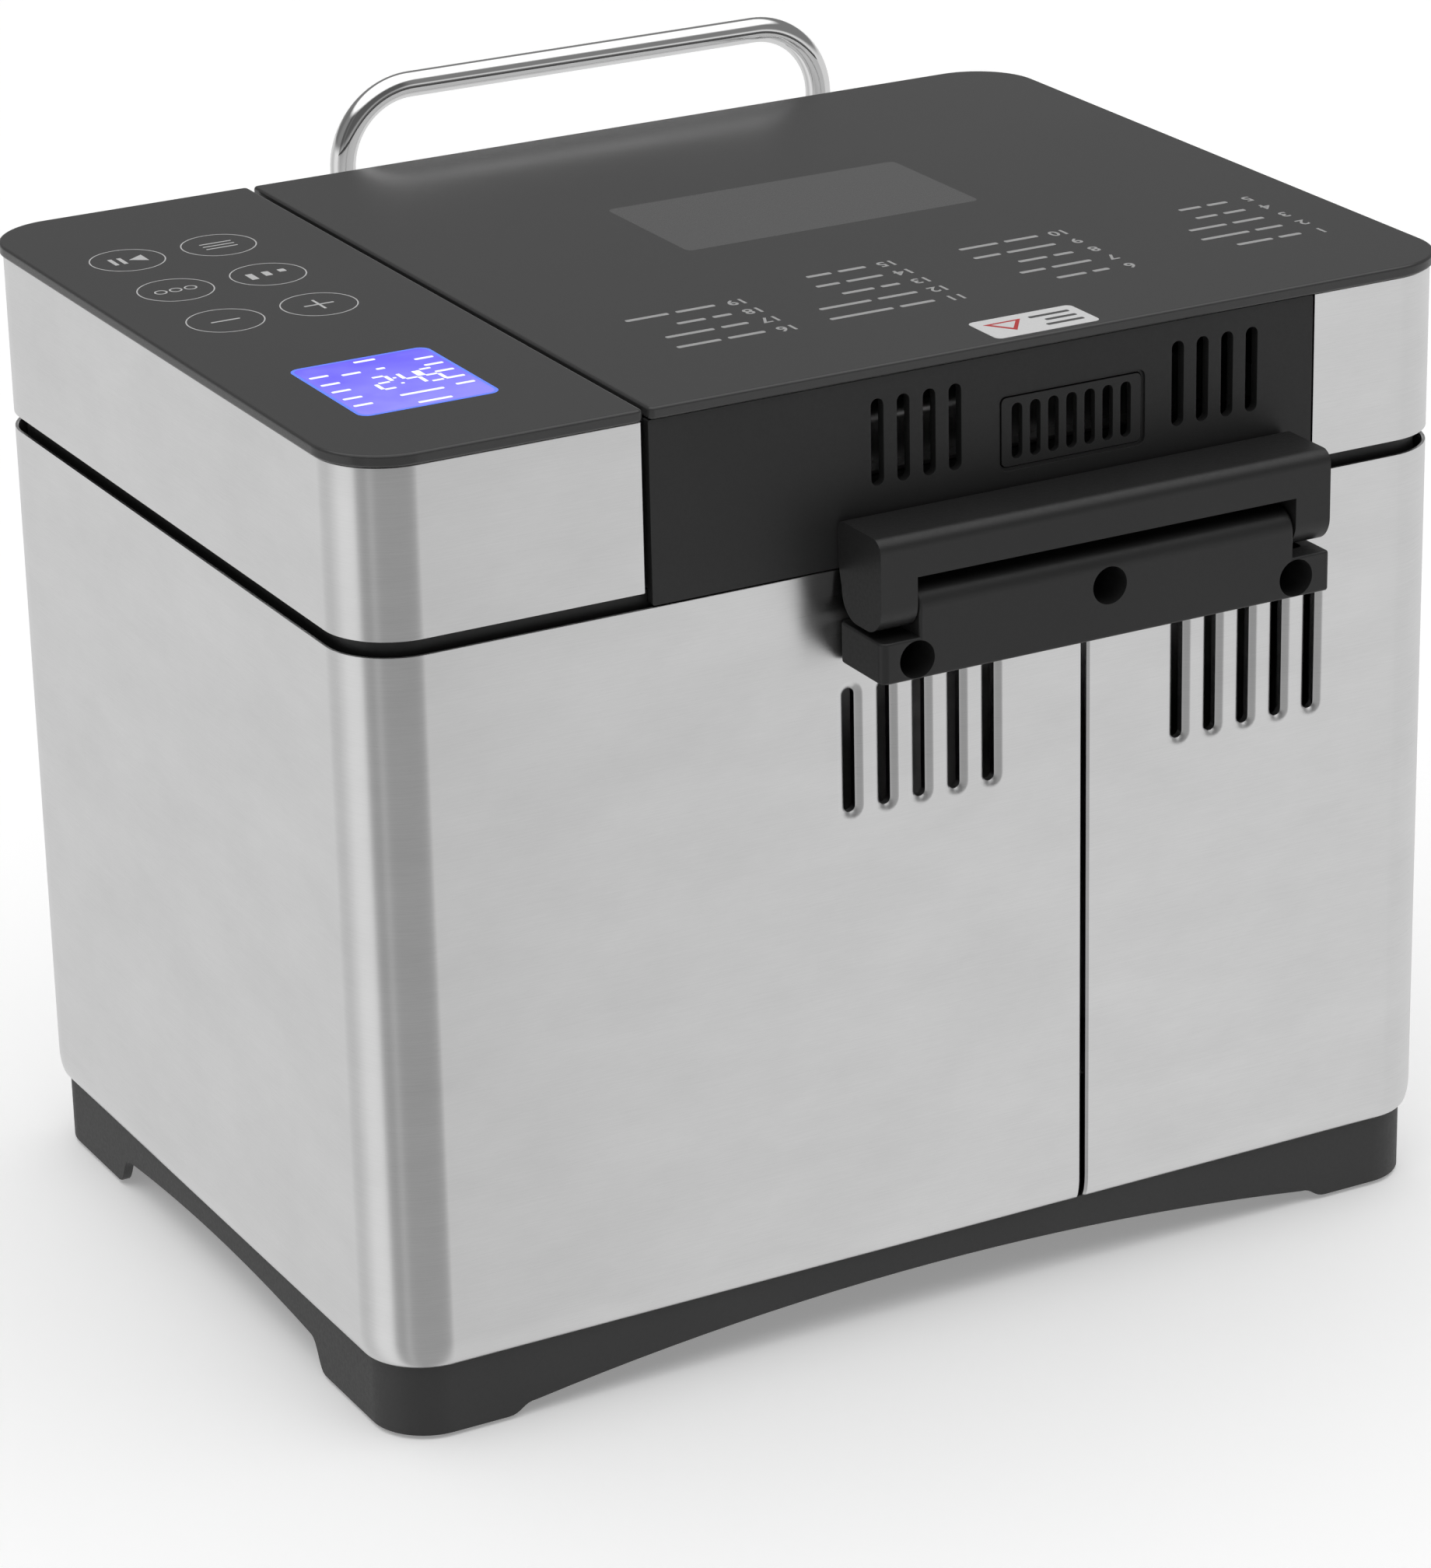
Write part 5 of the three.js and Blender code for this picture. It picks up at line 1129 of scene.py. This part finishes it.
def pan_bail():
    low, high = corners("pan_bail")
    eye_r, rod_r, eye_t = 5.0, 2.0, 3.0
    x0, x1 = low.x + rod_r, high.x - rod_r
    y_bar = low.y + rod_r
    z_pivot = middle_of("bail_rivet_left").z
    z_bar = high.z - rod_r
    y_start, z_start = MID_Y - 4, z_pivot + (z_bar - z_pivot) * 0.06
    places = [(x0, y_start, z_start), (x0, y_bar, z_bar), (x1, y_bar, z_bar), (x1, y_start, z_start)]
    wire_loop = tube(bent_path(places, (14.0, 14.0), 16), rod_r, 24)
    eye = [(PIVOT_HOLE_R, -eye_t / 2), (eye_r, -eye_t / 2), (eye_r, eye_t / 2), (PIVOT_HOLE_R, eye_t / 2)]
    eyes = [lathe(eye, (x, MID_Y, z_pivot), "X", 40) for x in (x0, x1)]
    piece("bail_wire", merge(wire_loop, *eyes), CHROME, "bail", ["pan_bail"],
          weighted=False, weld=False)


def heater():
    low, high = corners("heating_element")
    r = (high.z - low.z) / 2
    z = low.z + r
    x0, x_out = low.x + r, high.x
    y0, y1 = low.y + r, high.y - r
    x1 = 2 * LID_CX - x0
    leg = HEATER_LEG
    route = ((x_out, MID_Y + leg), (x1, MID_Y + leg), (x1, y1), (x0, y1), (x0, y0), (x1, y0),
             (x1, MID_Y - leg), (x_out, MID_Y - leg))
    places = [(x, y, z) for x, y in route]
    path = bent_path(places, (5.0, 18.0, 18.0, 18.0, 18.0, 5.0), 10)
    piece("heater_rod", tube(path, r), HEATER, "housing", ["heating_element"],
          weighted=False)


def paddle():
    low, high = corners("kneading_paddle")
    hub_r, hub_h, blade_t = 9.0, 20.0, 5.0
    profile = [(SHAFT_HOLE_R, 0), (hub_r - 0.6, 0), (hub_r, 0.6), (hub_r, hub_h - 2), (hub_r - 2, hub_h),
               (SHAFT_HOLE_R, hub_h)]
    hub = lathe(profile, (LID_CX, MID_Y, low.z))
    points = [(0, 0), (44, 0)]
    tip = [(44, 0), (48, 14.1), (33.9, 25.9)]
    back = [(33.9, 25.9), (15.8, 32), (0, 17)]
    for p0, p1, p2 in (tip, back):
        for i in range(1, 13):
            t = i / 12
            k = 1 - t
            points.append(tuple(k * k * a + 2 * k * t * b + t * t * c for a, b, c in zip(p0, p1, p2)))
    blade = stand_y(prism([(LID_CX + x, low.z + 1 + z) for x, z in points],
                          MID_Y - blade_t / 2, MID_Y + blade_t / 2))
    bore = shaft_hole(hub_r - 0.5, low.z - 2, high.z + 2)
    blade = eased(carved(blade, bore), 1.4, 4)
    piece("paddle_casting", merge(hub, blade), COATED, "paddle", ["kneading_paddle"],
          weld=False)


def inner_cover():
    box_low, box_high = corners("lid_inner_cover")
    low = (box_low.x + BRIM_W, box_low.y + BRIM_W)
    high = (box_high.x - BRIM_W, box_high.y - BRIM_W)
    brim, top = box_low.z, box_high.z
    profile = [(-into, top - SHEET - up) for into, up in quarter(DOME_FOLD, 6)]
    profile += [(0, brim + 0.5), (0.5, brim), (BRIM_W, brim), (BRIM_W, brim + SHEET),
                (SHEET, brim + SHEET)]
    profile += [(SHEET - into, top - up) for into, up in reversed(quarter(DOME_FOLD + SHEET, 6))]
    view = prism(round_rect(*WINDOW, 4.0), top - 4, top + 3)
    shell = carved(vessel(low, high, DOME_R, profile), view)
    piece("inner_cover_pressing", shell, ALUMINIUM, "lid", ["lid_inner_cover"])


def lid_seal():
    low, high = corners("lid_seal")
    wide = 4.0
    mid_z = (low.z + high.z) / 2
    half = (high.z - low.z) / 2
    inner_low, inner_high = (low.x + wide, low.y + wide), (high.x - wide, high.y - wide)
    rings = []
    for i in range(16):
        a = 2 * math.pi * i / 16
        grow = wide / 2 + wide / 2 * math.cos(a)
        outline = grown_rect(inner_low, inner_high, CHAMBER_R, grow)
        rings.append([(x, y, mid_z + half * math.sin(a)) for x, y in outline])
    piece("seal_bead", loft(rings, joined=True), SILICONE, "lid", ["lid_seal"],
          weighted=False)


def lid_frame():
    low, high = corners("lid_frame")
    cover_low, cover_high = corners("lid_inner_cover")
    thick, wall = 3.0, 3.0
    r_front, r_rear = CORNER_R - 1.3, CORNER_R - 3.3

    def outline(inset):
        return inset_rect(low, high, inset, (r_front, 0.4, 0.4, r_rear), 16)
    sheet = plate(outline, low.z, low.z + thick)
    side = box(high.x - wall, high.x, low.y, high.y, low.z + 1, high.z)
    mouth = prism(inset_rect(cover_low, cover_high, BRIM_W, DOME_R, 16), low.z - 2, low.z + thick + 2)
    frame_shape = carved(carved(sheet, side, operation="UNION"), mouth)
    piece("lid_frame_moulding", eased(frame_shape, 0.4, 2), BLACK, "lid", ["lid_frame"])


def collars():
    for label in ("left", "right"):
        low, high = corners("handle_collar_" + label)
        centre = middle_of("handle_collar_" + label)
        r = (high.x - low.x) / 2
        bore = HANDLE_R + FIT
        deep = high.y - low.y
        profile = [(bore, 0), (bore, -deep), (r - 1.6, -deep), (r - 0.6, -deep + 0.5),
                   (r, -deep + 1.5), (r, 0)]
        ring_shape = lathe(profile, (centre.x, high.y, centre.z), "Y", 56)
        piece("collar_ring_" + label, ring_shape, CHROME, "lid", ["handle_collar_" + label])


for make in (oven_chamber, top_deck, bread_pan, pan_bail, heater, paddle, inner_cover, lid_seal,
             lid_frame, collars):
    make()


# ---------------------------------------------------------------- CAD nodes that stay
REAL_EDGE = math.radians(40)


def smooth_group():
    """Geometry nodes that shade a carried-over node smoothly, except at its real edges."""
    group = bpy.data.node_groups.new("shade_by_angle", "GeometryNodeTree")
    group.interface.new_socket("Geometry", in_out="INPUT", socket_type="NodeSocketGeometry")
    group.interface.new_socket("Geometry", in_out="OUTPUT", socket_type="NodeSocketGeometry")
    start = group.nodes.new("NodeGroupInput")
    end = group.nodes.new("NodeGroupOutput")
    angle = group.nodes.new("GeometryNodeInputMeshEdgeAngle")
    less = group.nodes.new("FunctionNodeCompare")
    less.operation = "LESS_THAN"
    less.inputs[1].default_value = REAL_EDGE
    faces = group.nodes.new("GeometryNodeSetShadeSmooth")
    edges = group.nodes.new("GeometryNodeSetShadeSmooth")
    edges.domain = "EDGE"
    group.links.new(start.outputs[0], faces.inputs["Geometry"])
    group.links.new(faces.outputs["Geometry"], edges.inputs["Geometry"])
    group.links.new(angle.outputs["Unsigned Angle"], less.inputs[0])
    group.links.new(less.outputs["Result"], edges.inputs["Shade Smooth"])
    group.links.new(edges.outputs["Geometry"], end.inputs[0])
    return group


def dress_nodes():
    """Gives every shown CAD node its finish, welded faces, small rounded edges and even shading."""
    steps = (
        ("WELD", {"merge_threshold": 1e-5}),
        ("DECIMATE", {"decimate_type": "DISSOLVE", "angle_limit": math.radians(1.0)}),
        ("BEVEL", {"width": 0.25 * MM, "segments": 2, "limit_method": "ANGLE",
                   "angle_limit": REAL_EDGE}),
        ("NODES", {"node_group": smooth_group()}))
    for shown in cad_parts.values():
        for slot in shown.material_slots:
            finish = FINISHES[slot.material.name.split(".")[0]]
            slot.link = "OBJECT"
            slot.material = finish
        if not shown.hide_render:
            add_modifiers(shown, steps)


dress_nodes()


# ---------------------------------------------------------------- camera, light and floor
def camera():
    """The photo's viewing angle. The lens has no shift, because the other views would keep it."""
    data = bpy.data.cameras.new("camera")
    data.lens = 130.0
    data.sensor_width = 36.0
    eye = linked("camera", data)
    eye.location = (0.7469, 1.4060, 0.7561)
    forward = Vector((-0.4368, -0.8192, -0.3717))
    level = forward.to_track_quat("-Z", "Y").to_euler()
    level.rotate_axis("Z", math.radians(-1.33))
    eye.rotation_euler = level
    bpy.context.scene.camera = eye


def studio():
    """A pale sweep all round, with darker and brighter cards to be mirrored in the steel.

    Each card covers a range of directions, in degrees anticlockwise from +X, with a soft edge, and
    adds its level to the sweep's.
    """
    sweep = 0.92
    cards = ((-16, 13, 4, 0.16), (20, 108, 7, -0.46), (37, 43, 3, 0.17), (-54, -34, 8, -0.15),
             (118, 129, 4, 0.05))
    world = bpy.data.worlds.new("studio")
    bpy.context.scene.world = world
    world.use_nodes = True
    tree = world.node_tree
    tree.nodes.clear()
    where = node(tree, "TexCoord", output="Generated")
    along = {name: node(tree, "SeparateXYZ", {0: where}, name) for name in "XYZ"}
    turn = node(tree, "Math", {0: along["Y"], 1: along["X"]}, operation="ARCTAN2")

    def soft_step(value, start, end, low, high):
        return ramp(tree, value, start, end, low, high, "SMOOTHSTEP")

    total = sweep
    for start, end, soft, level in cards:
        rise = soft_step(turn, math.radians(start - soft), math.radians(start), 0.0, 1.0)
        fall = soft_step(turn, math.radians(end), math.radians(end + soft), level, 0.0)
        total = combine(tree, combine(tree, rise, fall, "MULTIPLY"), total)
    # The sweep dims with height, so the glass stays dark, and a broad light hangs overhead.
    dimmed = combine(tree, total, soft_step(along["Z"], 0.02, 0.2, 1.0, 0.3), "MULTIPLY")
    sky = combine(tree, dimmed, soft_step(along["Z"], 0.62, 0.8, 0.0, 1.6))
    background = node(tree, "Background", {"Strength": sky})
    wire(tree, tree.nodes.new("ShaderNodeOutputWorld").inputs, {"Surface": background})


def floor():
    half = 40.0
    mesh = bpy.data.meshes.new("floor")
    points = [(x, y, 0) for x, y in ((-half, -half), (half, -half), (half, half), (-half, half))]
    mesh.from_pydata(points, [], [(0, 1, 2, 3)])
    plane = linked("floor", mesh)
    material, tree, shader = new_material("floor_paper", grey(0.9), 0.9)
    fibres = noise(tree, place(tree), 300.0, 2.0)
    wire(tree, shader, {
        "Specular IOR Level": 0.0,
        "Base Color": shade_between(tree, fibres, grey(0.9), grey(0.92)),
        "Emission Color": (1, 1, 1, 1),
        "Emission Strength": 0.25})
    mesh.materials.append(material)
    plane.visible_glossy = False


camera()
studio()
floor()
bpy.context.scene.view_settings.view_transform = "Standard"
